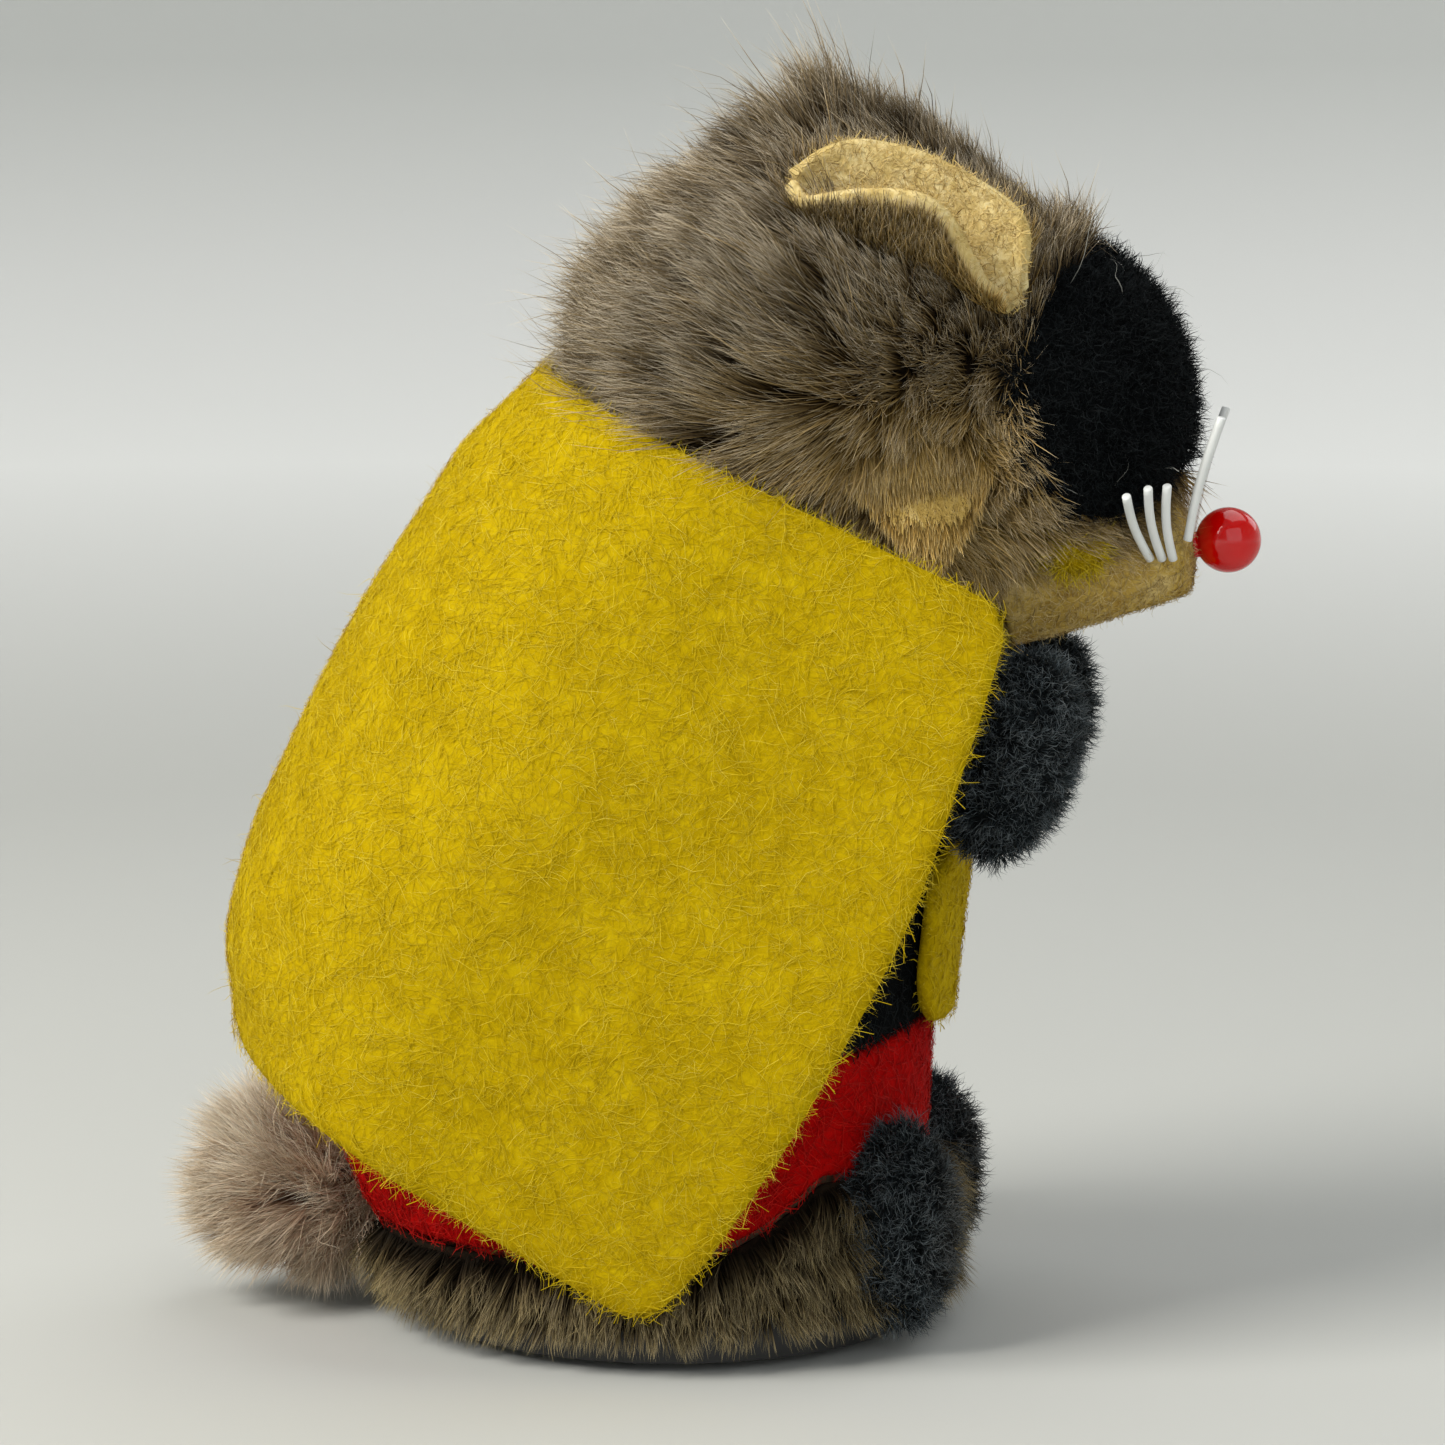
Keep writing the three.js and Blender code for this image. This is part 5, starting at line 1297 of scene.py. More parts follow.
@dataclass
class HeadForm:
    """The stuffed head: a skull, a face and cheeks run together into one rounded form.

    Places are given from the back and the top of the head's box: how far ahead and how far below.
    """

    skull: tuple[float, float] = (21.5, 22.5)
    skull_halves: tuple[float, float, float] = (16.6, 18.0, 15.3)
    face: tuple[float, float] = (38.6, 26.9)
    face_halves: tuple[float, float, float] = (11.4, 10.6, 12.6)
    face_tip: float = -8.0
    cheek: tuple[float, float] = (27.5, 37.0)
    cheek_halves: tuple[float, float, float] = (11.4, 10.6, 7.8)
    crown: tuple[float, float] = (22.0, 6.0)
    crown_rise: float = 2.6
    crown_reach: float = 0.36
    heart: tuple[float, float] = (27.0, 29.0)  # a place inside every part, from which rays start
    cape_lean: float = 25.0
    cape_top: float = 69.8
    blend: float = 14.0

    def place(self, spot: tuple[float, float]) -> Array:
        """A spot given from the back and top of the head's box, in the mouse's frame."""
        _, high = box_mm("head")
        return np.array([0.0, high[1] - spot[0], high[2] - spot[1]])

    def reach(self, way: Array, centre: Array, halves: tuple, tip: float = 0.0) -> Array:
        """How far a ray from the heart goes to the far side of an ellipsoid round the heart.

        In the ellipsoid's own scale the ray is p + r d, and r is the larger root of
        |d|^2 r^2 + 2 (p.d) r + |p|^2 - 1 = 0.
        """
        start = tipped(self.place(self.heart) - centre, -tip) / np.array(halves)
        step = tipped(way, -tip) / np.array(halves)
        a = np.sum(step * step, -1)
        b = np.sum(step * start, -1)
        c = np.sum(start * start, -1) - 1
        return (-b + np.sqrt(np.maximum(b * b - a * c, 0))) / a

    def skin(self, rows: int = 100, cols: int = 150) -> Skin:
        """The head's surface: the longest of its parts' reaches, run together by a high power."""
        way = directions(rows, cols)
        skull = self.reach(way, self.place(self.skull), self.skull_halves)
        lean = np.radians(self.cape_lean)
        up = np.array([0.0, -np.sin(lean), np.cos(lean)])
        drop = self.place(self.heart) @ up - self.cape_top
        toward = np.maximum(-(way @ up), 1e-3)
        floor = drop / toward
        skull = (skull ** -self.blend + floor ** -self.blend) ** (-1 / self.blend)
        face = self.reach(way, self.place(self.face), self.face_halves, self.face_tip)
        cheek = self.reach(way, self.place(self.cheek), self.cheek_halves)
        total = (skull ** self.blend + face ** self.blend + cheek ** self.blend) ** (1 / self.blend)
        crown = unit(self.place(self.crown) - self.place(self.heart))
        angle = np.arccos(np.clip(way @ crown, -1, 1))
        total = total + self.crown_rise * np.exp(-((angle / self.crown_reach) ** 2))
        points = self.place(self.heart) + way * total[..., None]
        points = points + way * 0.5 * lumps(points, 8, 41)[..., None]
        return Skin(points, True)


@dataclass
class HeadPile:
    """Long taupe pile over the head, combed back, with short beige pile on the cheeks.

    Each guide is a spot ahead of the back and below the top of the head, the way the pile is
    combed there as forward and up, its length, its lean to beige, and how far its word reaches.
    """

    form: HeadForm
    guides: tuple[tuple[float, ...], ...] = (
        (1.5, 19, -0.95, 0.35, 7.0, 0.0, 7),
        (1.5, 25, -1.0, 0.05, 8.0, 0.0, 6),
        (13, 21, -0.92, 0.36, 8.0, 0.0, 7),
        (12, 30, -0.95, 0.1, 8.0, 0.1, 6),
        (21, 21, -0.55, 0.8, 8.5, 0.05, 5),
        (12, 8, -0.97, 0.2, 5.5, 0.0, 8),
        (21, 1, -0.1, 1.0, 9.5, 0.0, 5),
        (30, 2, -0.35, 0.95, 7.5, 0.0, 6),
        (38, 8, 0.0, 1.0, 6.5, 0.0, 6),
        (29, 11, -0.3, 0.9, 3.0, 0.0, 5),
        (35, 18, 0.0, 1.0, 4.0, 0.1, 4),
        (29, 22, -0.75, 0.1, 3.0, 0.1, 5),
        (29, 31, 0.0, -1.0, 2.5, 0.75, 6),
        (21, 31, -0.75, -0.3, 6.0, 0.35, 5),
        (36, 33, 0.75, -0.5, 5.0, 0.35, 5),
        (32, 40, 0.6, -0.75, 3.5, 0.7, 6),
    )
    tuft: float = 2.4
    strands: int = 122000

    def combed(self, points: Array) -> tuple[Array, Array, Array]:
        """Reads the guides at each root by their nearness.

        Args:
            points: Root places.

        Returns:
            The comb direction, the length and the lean to beige: averages weighted by
            exp(-(distance / reach)^2).
        """
        table = np.array(self.guides)
        corner = self.form.place((0.0, 0.0))
        forward, below = corner[1] - points[:, 1], corner[2] - points[:, 2]
        gap = (forward[:, None] - table[:, 0]) ** 2 + (below[:, None] - table[:, 1]) ** 2
        weight = np.exp(-gap / table[:, 6] ** 2) + 1e-6 / (1 + gap)
        weight /= weight.sum(1, keepdims=True)
        comb = ahead(weight @ table[:, 2], weight @ table[:, 3])
        return comb, weight @ table[:, 4], weight @ table[:, 5]

    def grow(self, roots: Roots, rng: np.random.Generator) -> Growth:
        """Works out each fibre's way, length and colour, gathered into tufts."""
        comb, length, beige = self.combed(roots.points)
        comb = comb + 0.28 * swirl(roots.points, 7, 51)
        flat = laid(comb, roots.normals)
        count = len(roots.points)
        warped = roots.points + 1.2 * swirl(roots.points, 3.5, 61)
        cell = np.floor(warped / self.tuft)
        jitter = drawn(cell, 71)
        centre = (cell + 0.25 + 0.5 * jitter) * self.tuft
        pull = laid(centre - warped, roots.normals)
        stray = 0.5 * (jitter - 0.5)
        first = roots.normals * 0.8 + flat * 0.6 + stray + 0.12 * rng.normal(size=(count, 3))
        last = roots.normals * 0.14 + flat * 1.0 + stray + 0.2 * rng.normal(size=(count, 3))
        reach = 1.2 * length * rng.uniform(0.65, 1.1, count) * (0.85 + 0.3 * hashed(cell, 81))
        guard = rng.random(count) < 0.02
        reach = np.where(guard, reach * 1.5, reach)
        luck = 0.5 + 0.22 * rng.normal(size=count) + 0.35 * (hashed(cell, 91) - 0.5)
        luck = np.clip(np.where(guard, 0.95, luck), 0, 1)
        tone = np.clip(beige + 0.1 * rng.normal(size=count), 0, 1)
        return Growth(first, last, reach, 0.1, pull * 0.42, tone=tone, luck=luck)

    def build(self, skin: Skin, bare: Array) -> list[bpy.types.Object]:
        """Grows the pile in four regions.

        Args:
            skin: The head's surface.
            bare: How thickly each cell is planted, with 0 under the mask and the snout.

        Returns:
            The pieces.
        """
        rng = np.random.default_rng(37)
        roots = skin.scatter(self.strands, rng, bare)
        high = self.form.place(self.form.heart)[2] + 7
        made = []
        for side in Side:
            for word, upper in (("upper", True), ("lower", False)):
                kept = (roots.points[:, 0] * side.value > 0) & ((roots.points[:, 2] > high) == upper)
                region = roots.only(kept)
                made.append(fibre_piece(f"head_pile_{side.word}_{word}", region, self.grow(region, rng),
                                        PLUSH_PILE, rng))
        return made


@dataclass
class Mask:
    """A hood of black felt over the upper face, cut to an upright oval in side view."""

    form: HeadForm
    halves: tuple[float, float] = (7.6, 11.5)
    onward: float = 0.6  # how far the oval sits ahead of the CAD mask's middle
    turn: float = 10.0
    thickness: float = 1.4
    gap: float = 1.0
    above_snout: float = 5.5  # how far above the snout's middle the felt stops
    strays: int = 26

    def inside(self, points: Array, grown: float = 0.0) -> Array:
        """Where points lie within the mask's oval in side view."""
        centre = middle_mm("mask")
        forward, height = centre[1] - points[..., 1] - self.onward, points[..., 2] - centre[2]
        c, s = np.cos(np.radians(self.turn)), np.sin(np.radians(self.turn))
        along, up = forward * c - height * s, forward * s + height * c
        return (along / (self.halves[0] + grown)) ** 2 + (up / (self.halves[1] + grown)) ** 2 < 1

    def build(self) -> None:
        """Builds the felt and its fluff."""
        rng = np.random.default_rng(43)
        way = directions(96, 150)
        grown = np.array(self.form.face_halves) + self.gap
        points = self.form.place(self.form.face) + tipped(way * grown, self.form.face_tip)
        points = points + way * 0.35 * lumps(points, 5, 45)[..., None]
        skin = Skin(points, True)
        cells = skin.cells
        keep = self.inside(cells) & (cells[..., 2] > middle_mm("snout")[2] + self.above_snout)
        felt = solid_piece("mask_felt", skin.thick(self.thickness, keep), BLACK_FELT,
                           ("mask",))
        outer = skin.lifted(self.thickness / 2)
        roots = outer.scatter(15000, rng, keep.astype(float))
        count = len(roots.points)
        first = roots.normals + 0.8 * rng.normal(size=(count, 3))
        last = 0.3 * roots.normals + rng.normal(size=(count, 3))
        growth = Growth(first, last, rng.uniform(0.8, 2.4, count), 0.09, curl=0.3,
                        tone=0.12 * rng.random(count))
        fuzz = [fibre_piece("mask_fluff", roots, growth, BLACK_FUZZ, rng)]
        edge, out = edge_draw(skin, keep, 3500, self.thickness, rng)
        fuzz.append(rim_fuzz("mask_edge_fluff", edge, out, BLACK_FUZZ, rng, (1.0, 4.2), 0.07,
                             tone=0.2))
        stray = outer.scatter(self.strays, rng, keep.astype(float))
        lay = rng.normal(size=(self.strays, 3))
        growth = Growth(stray.normals * 0.4 + lay, lay + rng.normal(size=(self.strays, 3)),
                        rng.uniform(4, 9, self.strays), 0.07, lift=0.8, curl=0.5, stations=8)
        fuzz.append(fibre_piece("mask_stray_fibres", stray, growth, PALE_STRAY, rng))


@dataclass
class Ear:
    """A folded ear: cream felt inside, brown pile outside, its near rim lower than its far one.

    Lines run from the back tip to the front foot, as spots ahead, above and outward of the CAD
    ear's middle.
    """

    side: Side
    far_rim: tuple[tuple[float, float, float], ...] = (
        (-9.4, 4.4, -0.6), (-6.8, 6.4, -1.6), (-3.2, 7.0, -2.2), (0.8, 6.4, -2.2), (4.6, 4.8, -1.8),
        (7.8, 3.0, -1.2), (9.4, 0.8, -0.6), (9.7, -2.0, -0.4), (9.2, -4.8, -1.4))
    near_rim: tuple[tuple[float, float, float], ...] = (
        (-9.6, 3.6, 0.2), (-8.2, 2.4, 1.8), (-4.6, 3.0, 3.2), (-0.8, 3.2, 3.6), (2.2, 2.4, 3.6),
        (4.2, 0.6, 3.2), (5.4, -1.8, 2.6), (6.4, -4.0, 1.4), (8.0, -5.6, 0.0))
    fold: tuple[tuple[float, float, float], ...] = (
        (-9.2, 3.6, -1.4), (-7.6, 0.4, -1.6), (-4.8, -2.2, -1.8), (-1.4, -3.8, -1.8), (1.8, -5.0, -1.8),
        (4.2, -5.8, -1.8), (6.0, -6.4, -1.8), (7.4, -6.8, -2.0), (8.8, -6.8, -2.4))
    thickness: float = 1.3

    def line(self, knots: tuple, share: Array) -> Array:
        """One of the ear's lines, in the mouse's frame."""
        spots = smooth_line(knots, share)
        centre = middle_mm(f"ear_{self.side.word}")
        return centre + ahead(spots[..., 0], spots[..., 1] - 1.0, (spots[..., 2] - 0.8) * self.side.value)

    def skin(self, rows: int = 60, cols: int = 84) -> Skin:
        """The lining's surface: at each place along, a U from the far rim by the fold to the near."""
        share = np.linspace(0, 1, cols)
        far, low, near = (self.line(k, share) for k in (self.far_rim, self.fold, self.near_rim))
        t = np.linspace(0, 1, rows)[:, None, None]
        bow = 1.5 * low - 0.25 * (far + near)
        points = (1 - t) ** 2 * far + 2 * t * (1 - t) * bow + t ** 2 * near
        points = points + 0.3 * swirl(points, 4, 53)
        return Skin(points if self.side is Side.RIGHT else points[:, ::-1])

    def build(self) -> None:
        """Builds the folded felt, the fuzz on it and the pile on its outside."""
        rng = np.random.default_rng(57)
        skin = self.skin()
        inward = np.sum(skin.normals * (skin.points.mean((0, 1)) - skin.points), -1).mean() > 0
        word = self.side.word
        felt = solid_piece(f"ear_{word}_felt", skin.thick(self.thickness), CREAM_FELT,
                           (f"ear_{word}",))
        sign = 1 if inward else -1
        lining = skin.lifted(sign * self.thickness / 2)
        back = skin.lifted(-sign * self.thickness / 2)
        roots = lining.scatter(3000, rng)
        roots.normals = roots.normals * sign
        fuzz = [lying_fuzz(f"ear_{word}_fibres", roots, CREAM_FUZZ, rng, (0.8, 2.4), 0.07)]
        edge, out = edge_draw(skin, None, 1500, self.thickness, rng)
        fuzz.append(rim_fuzz(f"ear_{word}_edge_fibres", edge, out, CREAM_FUZZ, rng,
                             (0.3, 1.2), 0.06, tone=0.1))
        outside = back.scatter(8500, rng)
        outside.normals = -outside.normals * sign
        planted = (outside.row > 0.08) & (outside.row < 0.93)
        outside = outside.only(planted)
        count = len(outside.points)
        comb = ahead(np.full(count, 0.15), np.full(count, 0.9), 0.2 * self.side.value)
        beige = np.clip(0.25 + 0.6 * (outside.col if self.side is Side.RIGHT else 1 - outside.col) ** 2
                        + 0.1 * rng.normal(size=count), 0, 1)
        growth = Growth(outside.normals * 0.6 + comb * 0.6, outside.normals * 0.2 + comb
                        + 0.25 * rng.normal(size=(count, 3)), rng.uniform(2.2, 4.2, count), 0.1, tone=beige)
        fuzz.append(fibre_piece(f"ear_{word}_pile", outside, growth, PLUSH_PILE, rng))


@dataclass
class CheekFlap:
    """A pointed corner of short beige pile cloth that hangs from each cheek over the cape."""

    side: Side
    form: HeadForm
    top: tuple[float, float, float] = (23.0, 35.5, 30.5)  # from, to, and how far below
    point: tuple[float, float] = (30.4, 39.6)
    thickness: float = 1.2

    def build(self, head: Skin) -> None:
        """Lays a triangle, its sides bowed, just off the head's own surface.

        Args:
            head: The head's surface, whose width at each spot the flap follows.
        """
        rng = np.random.default_rng(61)
        rows, cols = 46, 46
        v, u = np.meshgrid(np.linspace(0, 1, rows), np.linspace(0, 1, cols), indexing="ij")
        back, front, up = self.top
        taper = (1 - v) ** 0.85 * 0.94 + 0.06 * (1 - v * v) + 0.02
        middle = (back + front) / 2 * (1 - v) + self.point[0] * v
        forward = middle + (u - 0.5) * (front - back) * taper
        below = up + (self.point[1] - up) * v - 1.2 * (1 - v) * np.cos(np.pi * (u - 0.5))
        corner = self.form.place((0.0, 0.0))
        near = head.points.reshape(-1, 3)
        near = near[near[:, 0] * self.side.value > 4]
        y, z = corner[1] - forward, corner[2] - below
        gap = (near[None, :, 1] - y.reshape(-1, 1)) ** 2 + (near[None, :, 2] - z.reshape(-1, 1)) ** 2
        weight = np.exp(-gap / 2.5)
        side = (weight @ np.abs(near[:, 0]) / np.maximum(weight.sum(1), 1e-12)).reshape(rows, cols)
        stand = -0.4 + 5.2 * v ** 0.6
        points = np.stack([(side + stand) * self.side.value, y, z], -1)
        skin = Skin(points if self.side is Side.LEFT else points[:, ::-1])
        if np.mean(skin.normals[..., 0]) * self.side.value < 0:
            skin = Skin(skin.points[:, ::-1])
        word = self.side.word
        felt = solid_piece(f"cheek_flap_{word}", skin.thick(self.thickness), BEIGE_BACKING)
        roots = skin.lifted(self.thickness / 2).scatter(4500, rng)
        count = len(roots.points)
        comb = ahead(np.zeros(count), np.full(count, -1.0))
        growth = Growth(roots.normals * 0.5 + comb, roots.normals * 0.15 + comb
                        + 0.2 * rng.normal(size=(count, 3)),
                        rng.uniform(1.2, 2.6, count) * (1.2 - 0.6 * roots.row), 0.09,
                        tone=np.clip(0.75 + 0.25 * rng.random(count), 0, 1))
        pile = fibre_piece(f"cheek_flap_{word}_pile", roots, growth, PLUSH_PILE, rng)
        edge, out = edge_draw(skin, None, 900, self.thickness, rng)
        fringe = rim_fuzz(f"cheek_flap_{word}_fringe", edge, out, CREAM_FUZZ, rng,
                          (0.4, 1.3), 0.06, tone=0.3)


@dataclass
class Muzzle:
    """Cream felt snout, red bead nose, nylon whiskers and the yellow wool tufts beside them."""

    root_radius: float = 6.4
    tip_radius: float = 3.9
    nose_radius: float = 2.75
    stem_radius: float = 1.1
    whisker_radius: float = 0.38

    def snout(self, rng: np.random.Generator) -> None:
        """A blunt cone, its end rolled in round the nose's stem."""
        low, high = box_mm("snout")
        tip = self.nose_centre() + np.array([0.0, self.nose_radius + 0.2, -0.3])
        root = np.array([0.0, high[1] - 1.2, low[2] + self.root_radius + 0.4])
        along = np.concatenate([np.linspace(0, 0.93, 44), 0.93 + 0.07 * np.sin(np.linspace(0.2, 1.57, 9))])
        path = root + (tip - root) * along[:, None]
        radii = self.root_radius + (self.tip_radius - self.root_radius) * along
        radii = radii + 0.35 * np.sin(np.pi * along)
        radii[44:] *= np.maximum(np.cos(np.linspace(0.2, 1.57, 9)), 0.3)
        skin = tube(path, radii, 72, turned=False).uneven(0.18, 3.5, 65).facing_out(path[:, None])
        solid_piece("snout_felt", skin.closed(), SNOUT_FELT, ("snout",))
        roots = skin.scatter(5000, rng)
        lying_fuzz("snout_fibres", roots, CREAM_FUZZ, rng, (0.7, 2.2), 0.07, whorl=5,
                   tone=np.clip(0.35 + 0.5 * roots.row ** 3 + 0.2 * rng.normal(size=5000), 0, 1))
        edge = skin.scatter(1500, rng)
        rim_fuzz("snout_loose_fibres", edge.points, edge.normals, CREAM_FUZZ, rng,
                 (0.4, 1.6), 0.05, tone=0.2)

    def nose_centre(self) -> Array:
        """The middle of the bead, from the front and the top of its node's box."""
        low, high = box_mm("nose_bead")
        return np.array([0.0, low[1] + self.nose_radius, high[2] - self.nose_radius])

    def nose(self) -> None:
        """A ball with the moulding's stem run out of its back."""
        centre = self.nose_centre()
        way = directions(48, 64)[..., [0, 2, 1]] * np.array([1.0, -1.0, 1.0])
        skin = Skin(centre + way * self.nose_radius, True).facing_out(centre)
        solid_piece("nose_bead_ball", skin.closed(), RED_ACRYLIC, ("nose_bead",))
        path = centre + np.array([0, 1.0, -0.16]) * np.linspace(0.9, 1.75, 8)[:, None] * self.nose_radius
        stem = tube(path, np.full(8, self.stem_radius), 24)
        solid_piece("nose_bead_stem", stem.closed(), RED_ACRYLIC)

    def whiskers(self) -> None:
        """Nylon bristles with square-cut ends, each bent a little on its way from root to tip."""
        for side in Side:
            for number in range(1, 5):
                node = f"whisker_{side.word}_{number}"
                data = frame["nodes"][node].data
                corners = np.empty(len(data.vertices) * 3)
                data.vertices.foreach_get("co", corners)
                corners = corners.reshape(-1, 3) / MM
                top = corners[:, 2] > corners[:, 2].mean()
                root, tip = corners[~top].mean(0), corners[top].mean(0)
                share = np.linspace(0, 1, 14)[:, None]
                bow = np.sin(np.pi * share) * np.array([0.25 * side.value, 0.3, 0])
                path = root + (tip - root) * share + bow
                path = np.concatenate([path[:1], path, path[-1:]])
                radii = self.whisker_radius * np.concatenate([[0.86], np.full(14, 1.0), [0.86]])
                path[0] -= unit(tip - root) * 0.06
                path[-1] += unit(tip - root) * 0.06
                solid_piece(f"bristle_{side.word}_{number}", tube(path, radii, 14).closed(), NYLON_ROD,
                            (node,))

    def tufts(self, rng: np.random.Generator) -> None:
        """A patch of yellow wool at each side of the snout's root."""
        for side in Side:
            node = f"cheek_tuft_{side.word}"
            low, high = box_mm(node)
            centre = (low + high) / 2
            form = egg(centre, (high - low) / 2 * 0.9, rows=24, cols=32)
            solid_piece(f"wool_tuft_{side.word}", form.closed(), YELLOW_FELT, (node,))
            roots = form.scatter(2200, rng)
            rim_fuzz(f"wool_tuft_{side.word}_fibres", roots.points, roots.normals, YELLOW_FUZZ,
                     rng, (0.8, 2.8), 0.08, tone=0.35)

    def build(self) -> None:
        """Builds everything on the front of the face."""
        rng = np.random.default_rng(67)
        self.snout(rng)
        self.nose()
        self.whiskers()
        self.tufts(rng)


@dataclass
class Head:
    """The stuffed plush head with all that is sewn or glued to it."""

    form: HeadForm = field(default_factory=HeadForm)

    def build(self) -> None:
        """Builds the skin, the pile, the mask, the ears, the cheek flaps and the muzzle."""
        skin = self.form.skin()
        piece = solid_piece("head_skin", skin.closed(), PLUSH_BACKING, ("head",))
        mask = Mask(self.form)
        cells = skin.cells
        planted = np.where(mask.inside(cells, -1.0), 0.0, 1.0)
        centre, halves = middle_mm("snout"), (box_mm("snout")[1] - box_mm("snout")[0]) / 2
        in_snout = np.hypot(cells[..., 0], cells[..., 2] - centre[2]) < halves[0] * 0.95
        planted[in_snout & (cells[..., 1] < centre[1] + halves[1])] = 0.0
        lean = np.radians(self.form.cape_lean)
        height = cells @ np.array([0.0, -np.sin(lean), np.cos(lean)])
        planted[(height < self.form.cape_top + 0.4) & (cells[..., 1] > -16)] = 0.03
        HeadPile(self.form).build(skin, planted)
        mask.build()
        for side in Side:
            Ear(side).build()
            CheekFlap(side, self.form).build(skin)
        Muzzle().build()


# ---------------------------------------------------------------------------
# Limbs, skirt and tail
# ---------------------------------------------------------------------------


@dataclass
class Limb:
    """An arm or foot of chenille: a soft core under a coat of short curled pile."""

    node: str
    radius: float
    half_length: float
    lean: float
    brown: float  # how far the pile at its front leans to brown
    strands: int = 9000
    shoulder: float = 0.0  # radius of the stub that runs back under the cape

    def build(self, seed: int) -> None:
        """Builds the core and its pile.

        Args:
            seed: The start of this limb's luck.
        """
        rng = np.random.default_rng(seed)
        low, high = box_mm(self.node)
        centre = np.array([(low[0] + high[0]) / 2, low[1] + self.radius + 0.6, 0.0])
        centre[2] = high[2] - self.half_length if not self.shoulder else (low[2] + high[2]) / 2
        core = self.radius - 0.9
        form = egg(centre, (core, core, self.half_length - 0.9), self.lean)
        skin = form.uneven(0.3, 3, seed)
        piece = solid_piece(f"{self.node}_core", skin.closed(), CHENILLE_CORE, (self.node,))
        roots = skin.scatter(self.strands, rng)
        if self.shoulder:
            back = np.array([centre[0] * 0.95, high[1] - 1, centre[2] + 2])
            share = np.linspace(0, 1, 20)[:, None]
            path = (centre + np.array([0, 0, 1.0])) * (1 - share) + back * share
            stub = tube(path, np.full(20, self.shoulder - 0.9), 28)
            solid_piece(f"{self.node}_shoulder", stub.closed(), CHENILLE_CORE)
            more = stub.scatter(self.strands // 4, rng)
            roots = Roots(*(np.concatenate([getattr(roots, k), getattr(more, k)])
                            for k in ("points", "normals", "row", "col")))
        count = len(roots.points)
        tuft = np.floor(roots.points / 1.3)
        drift = drawn(tuft, seed) - 0.5
        first = roots.normals + 0.8 * drift + 0.3 * rng.normal(size=(count, 3))
        last = roots.normals * 0.4 + 1.5 * drift + 0.5 * rng.normal(size=(count, 3))
        fore = np.clip((centre[1] - roots.points[:, 1]) / self.radius - 0.3, 0, 1)
        growth = Growth(first, last, rng.uniform(1.1, 2.4, count), 0.09, curl=0.35, turns=0.9,
                        tone=np.clip(self.brown * fore + 0.08 * rng.normal(size=count), 0, 1))
        fibre_piece(f"{self.node}_pile", roots, growth, CHENILLE_PILE, rng)


@dataclass
class Skirt:
    """A collar of short plush round the foot of the body, brushed down and out."""

    form: BodyForm
    pile: float = 4.6
    bottom: float = 3.2
    hem_gap: float = 0.6
    strands: int = 23000

    def build(self, clothes: Clothes) -> None:
        """Builds the cloth band and its pile.

        Args:
            clothes: The clothes, whose hem the collar goes up to.
        """
        rng = np.random.default_rng(71)
        rows, cols = 18, 200
        turn = 2 * np.pi * np.arange(cols) / cols
        shares = np.linspace(0.0, 0.3, 200)
        around = self.form.surface(shares[:, None], turn[None], 1.0)
        top = shares[np.argmax(around[..., 2] > clothes.hem_line(around) - self.hem_gap, axis=0)]
        share = top * np.linspace(0, 1, rows)[:, None]
        points = self.form.surface(share, np.broadcast_to(turn, share.shape), 1.0)
        drop = np.linspace(1, 0, rows)[:, None] ** 2 * (points[0, :, 2] - self.bottom)
        points[..., 2] -= drop
        points[..., :2] *= 1.03
        skin = Skin(points, True)
        band = solid_piece("skirt_cloth", skin.thick(1.0), PLUSH_BACKING, ("fur_skirt",))
        roots = skin.lifted(0.5).scatter(self.strands, rng)
        count = len(roots.points)
        cell = np.floor((roots.points + 0.8 * swirl(roots.points, 3, 73)) / 1.7)
        drift = drawn(cell, 75) - 0.5
        down = np.array([0.0, 0.0, -1.0])
        first = roots.normals * 1.0 + down * 0.35 + 0.6 * drift
        last = roots.normals * 0.35 + down * 0.8 + 0.7 * drift + 0.2 * rng.normal(size=(count, 3))
        room = np.clip((roots.points[:, 2] - 1.2) / 0.6, 1.5, self.pile + 0.4)
        growth = Growth(first, last, room * rng.uniform(0.7, 1.1, count), 0.1,
                        tone=np.clip(0.3 + 0.3 * drift[:, 0] + 0.15 * rng.normal(size=count), 0, 1))
        fuzz = fibre_piece("skirt_pile", roots, growth, SKIRT_PILE, rng)


@dataclass
class Tail:
    """A bushy tail: long pale pile all round a small core."""

    strands: int = 29000
    core: float = 0.55
    length: tuple[float, float] = (4.5, 9.5)

    def build(self) -> None:
        """Builds the core and its pile, which streams out and back."""
        rng = np.random.default_rng(79)
        low, high = box_mm("tail")
        centre, halves = (low + high) / 2, (high - low) / 2
        form = egg(centre - np.array([0, 2.4, 1.0]), halves * self.core)
        piece = solid_piece("tail_core", form.closed(), TAIL_CORE, ("tail",))
        roots = form.scatter(self.strands, rng)
        count = len(roots.points)
        cell = np.floor((roots.points + 0.8 * swirl(roots.points, 3, 83)) / 1.8)
        drift = drawn(cell, 85) - 0.5
        back = np.array([0.0, 1.0, 0.12])
        first = roots.normals + 0.25 * back + 0.5 * drift
        last = roots.normals * 0.5 + 0.8 * back + 1.3 * drift + 0.35 * rng.normal(size=(count, 3))
        upper = np.clip((roots.points[:, 2] - centre[2]) / halves[2], -1, 1)
        # Painted shade: the pile leans to the darker ramp on the tail's underside and to the pale one on top,
        # with a random lean per tuft.
        shade = np.clip(0.45 - 0.35 * upper + 0.5 * (hashed(cell, 89) - 0.5), 0, 1)
        reach = rng.uniform(*self.length, count)
        reach = np.minimum(reach, np.maximum((roots.points[:, 2] - 0.6) / 0.75, 2.0) + 2.5 * (upper > 0))
        growth = Growth(first, last, reach, 0.1, tone=shade)
        fibre_piece("tail_pile", roots, growth, TAIL_PILE, rng)


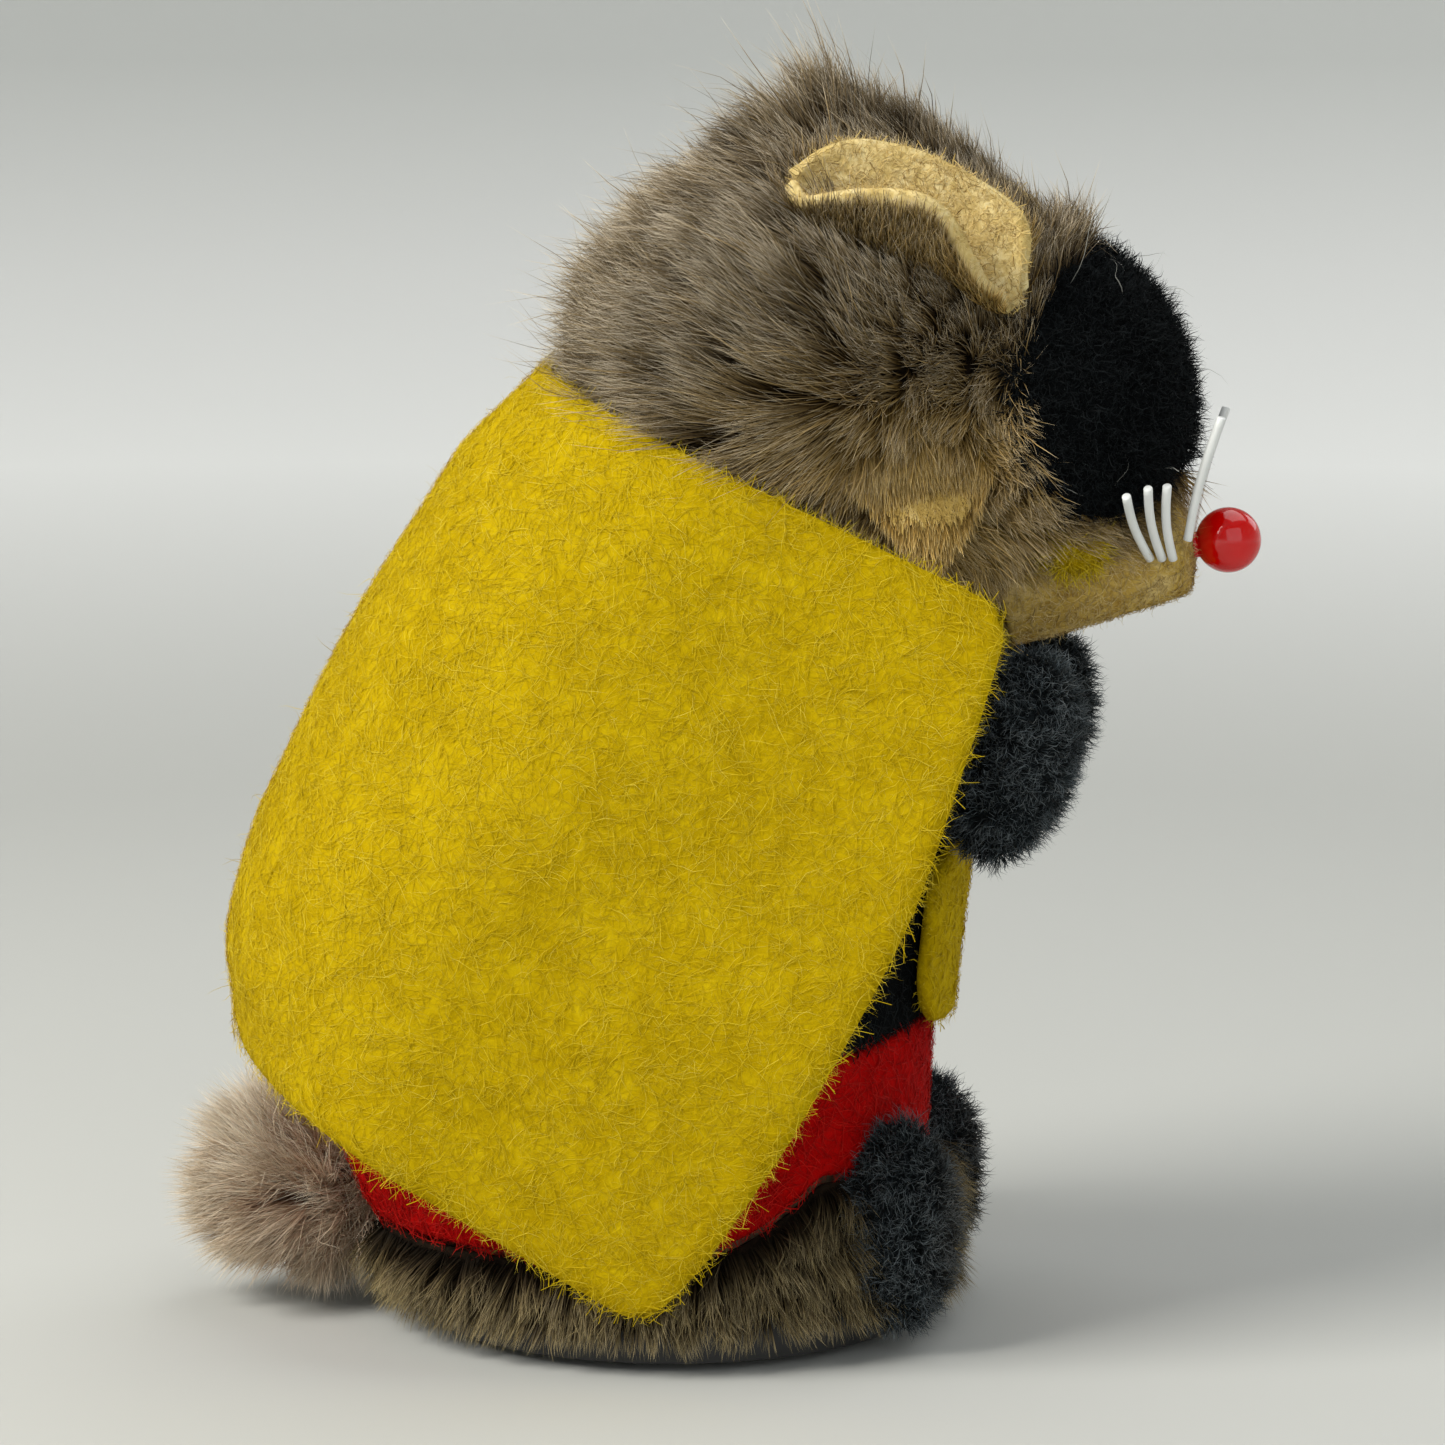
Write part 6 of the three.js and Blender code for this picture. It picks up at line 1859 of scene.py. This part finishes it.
# ---------------------------------------------------------------------------
# Mechanism and stage
# ---------------------------------------------------------------------------


@dataclass
class Mechanism:
    """The carried-over pieces of the base and the clockwork, with their metals and plastics."""

    by_slot: dict[str, Finish] = field(default_factory=lambda: {
        "black_plastic": BLACK_ABS, "white_plastic": WHITE_ABS, "steel": STEEL, "brass": BRASS,
        "blued_spring_steel": BLUE_STEEL, "tinned_sheet": TINPLATE, "tyre_rubber": TYRE_RUBBER,
        "pulp_board": CARD, "peg_wood": PEG_WOOD, "yellow_felt": YELLOW_FELT, "black_felt": BLACK_FELT,
        "red_felt": RED_FELT, "cream_felt": CREAM_FELT, "brown_plush": PLUSH_BACKING,
        "pale_plush": TAIL_CORE, "slate_chenille": CHENILLE_CORE, "yellow_wool": YELLOW_FELT,
        "red_bead": RED_ACRYLIC, "nylon": NYLON_ROD})

    def build(self) -> None:
        """Gives every CAD node the finish of its slot."""
        for part in frame["record"]["subparts"]:
            data = frame["nodes"][part["node"]].data
            data.materials.clear()
            data.materials.append(self.by_slot[part["material_slot"]].material())


@dataclass
class Stage:
    """The pale sweep, the soft lights and the camera."""

    azimuth: float = -82.5
    elevation: float = 7.0
    distance: float = 400.0
    target: tuple[float, float, float] = (0.0, -4.2, 50.6)
    lens: float = 116.8
    sensor: float = 36.0

    def camera(self) -> None:
        """A long lens at the mouse's right, a little above it."""
        turn, rise = np.radians(self.azimuth), np.radians(self.elevation)
        way = np.array([np.sin(turn) * np.cos(rise), -np.cos(turn) * np.cos(rise), np.sin(rise)])
        data = bpy.data.cameras.new("camera")
        data.lens, data.sensor_width = self.lens, self.sensor
        data.clip_start, data.clip_end = 0.01, 20
        camera = bpy.data.objects.new("camera", data)
        bpy.context.scene.collection.objects.link(camera)
        camera.location = Vector((np.array(self.target) + way * self.distance) * MM)
        camera.rotation_euler = Vector(-way).to_track_quat("-Z", "Y").to_euler()
        bpy.context.scene.camera = camera

    def light(self, name: str, place: tuple[float, float, float], size: float, power: float,
              colour: str) -> None:
        """A square soft light aimed at the mouse.

        Args:
            name: The light's name.
            place: Where it hangs, in millimetres.
            size: The length of its side, in millimetres.
            power: Its power in watts.
            colour: Its colour as sRGB hex.
        """
        data = bpy.data.lights.new(name, "AREA")
        data.shape, data.size, data.energy = "SQUARE", size * MM, power
        data.color = linear(colour)[:3]
        lamp = bpy.data.objects.new(name, data)
        bpy.context.scene.collection.objects.link(lamp)
        lamp.location = Vector(np.array(place) * MM)
        aim = np.array(self.target) - np.array(place)
        lamp.rotation_euler = Vector(aim).to_track_quat("-Z", "Y").to_euler()

    def sweep(self) -> None:
        """A round floor that curves up far from the mouse, as a turned profile."""
        floor = CAD_BOX[0][2] / MM
        bend = np.linspace(0.03, np.pi / 2, 60)
        radius = np.concatenate([[1.0, 150.0, 300.0], 300 + 900 * np.sin(bend), [1200.0]])
        height = np.concatenate([[0.0, 0.0, 0.0], 900 * (1 - np.cos(bend)), [1600.0]])
        sides, rings = 96, len(radius)
        turn = 2 * np.pi * np.arange(sides) / sides
        points = np.stack([radius[:, None] * np.cos(turn), radius[:, None] * np.sin(turn),
                           np.broadcast_to(height[:, None] + floor, (rings, sides))], axis=-1)
        skin = Skin(points[:, ::-1], True)
        a, b, c, d = skin.corners()
        quads = np.stack([a, b, c, d], axis=-1).reshape(-1, 4)
        first = np.arange(sides)
        middle = np.stack([np.roll(first, -1), first, np.full(sides, rings * sides)], axis=-1)
        all_points = np.concatenate([skin.points.reshape(-1, 3), [[0, 0, floor]]])
        mesh = mesh_of("sweep", all_points, quads, middle)
        paper = Paper("white_paper_sweep")
        mesh.materials.append(paper.material())
        sweep = bpy.data.objects.new("sweep", mesh)
        bpy.context.scene.collection.objects.link(sweep)

    def build(self) -> None:
        """Builds the stage."""
        scene = bpy.context.scene
        scene.view_settings.view_transform = "Standard"
        world = bpy.data.worlds.new("room")
        world.use_nodes = True
        world.node_tree.nodes["Background"].inputs["Color"].default_value = linear("e4e8ea")
        world.node_tree.nodes["Background"].inputs["Strength"].default_value = 0.33
        scene.world = world
        self.camera()
        self.sweep()
        self.light("window", (-350.0, 420.0, 520.0), 380, 6.1, "fdfaf4")
        self.light("room_fill", (-520.0, -260.0, 260.0), 600, 1.2, "f0f4fa")
        self.light("ceiling", (200.0, -160.0, 800.0), 700, 2.6, "ffffff")
        self.light("far_wall", (650.0, -650.0, 420.0), 500, 1.6, "f8faff")


# ---------------------------------------------------------------------------
# Main
# ---------------------------------------------------------------------------


def main() -> None:
    """Builds the whole mouse, piece by piece, and its stage."""
    logging.basicConfig(level=logging.INFO, format="%(name)s %(message)s")
    Stage().build()
    Mechanism().build()
    form = BodyForm()
    clothes = Clothes(form)
    clothes.build()
    Cape(form).build()
    Skirt(form).build(clothes)
    Tail().build()
    for side in Side:
        Limb(f"arm_{side.word}", 5.3, 9.3, 16.0, 0.1, shoulder=4.0).build(101 + side.value)
        Limb(f"foot_{side.word}", 5.2, 9.2, 0.0, 0.55).build(111 + side.value)
    Head().build()


if __name__ == "__main__":
    main()
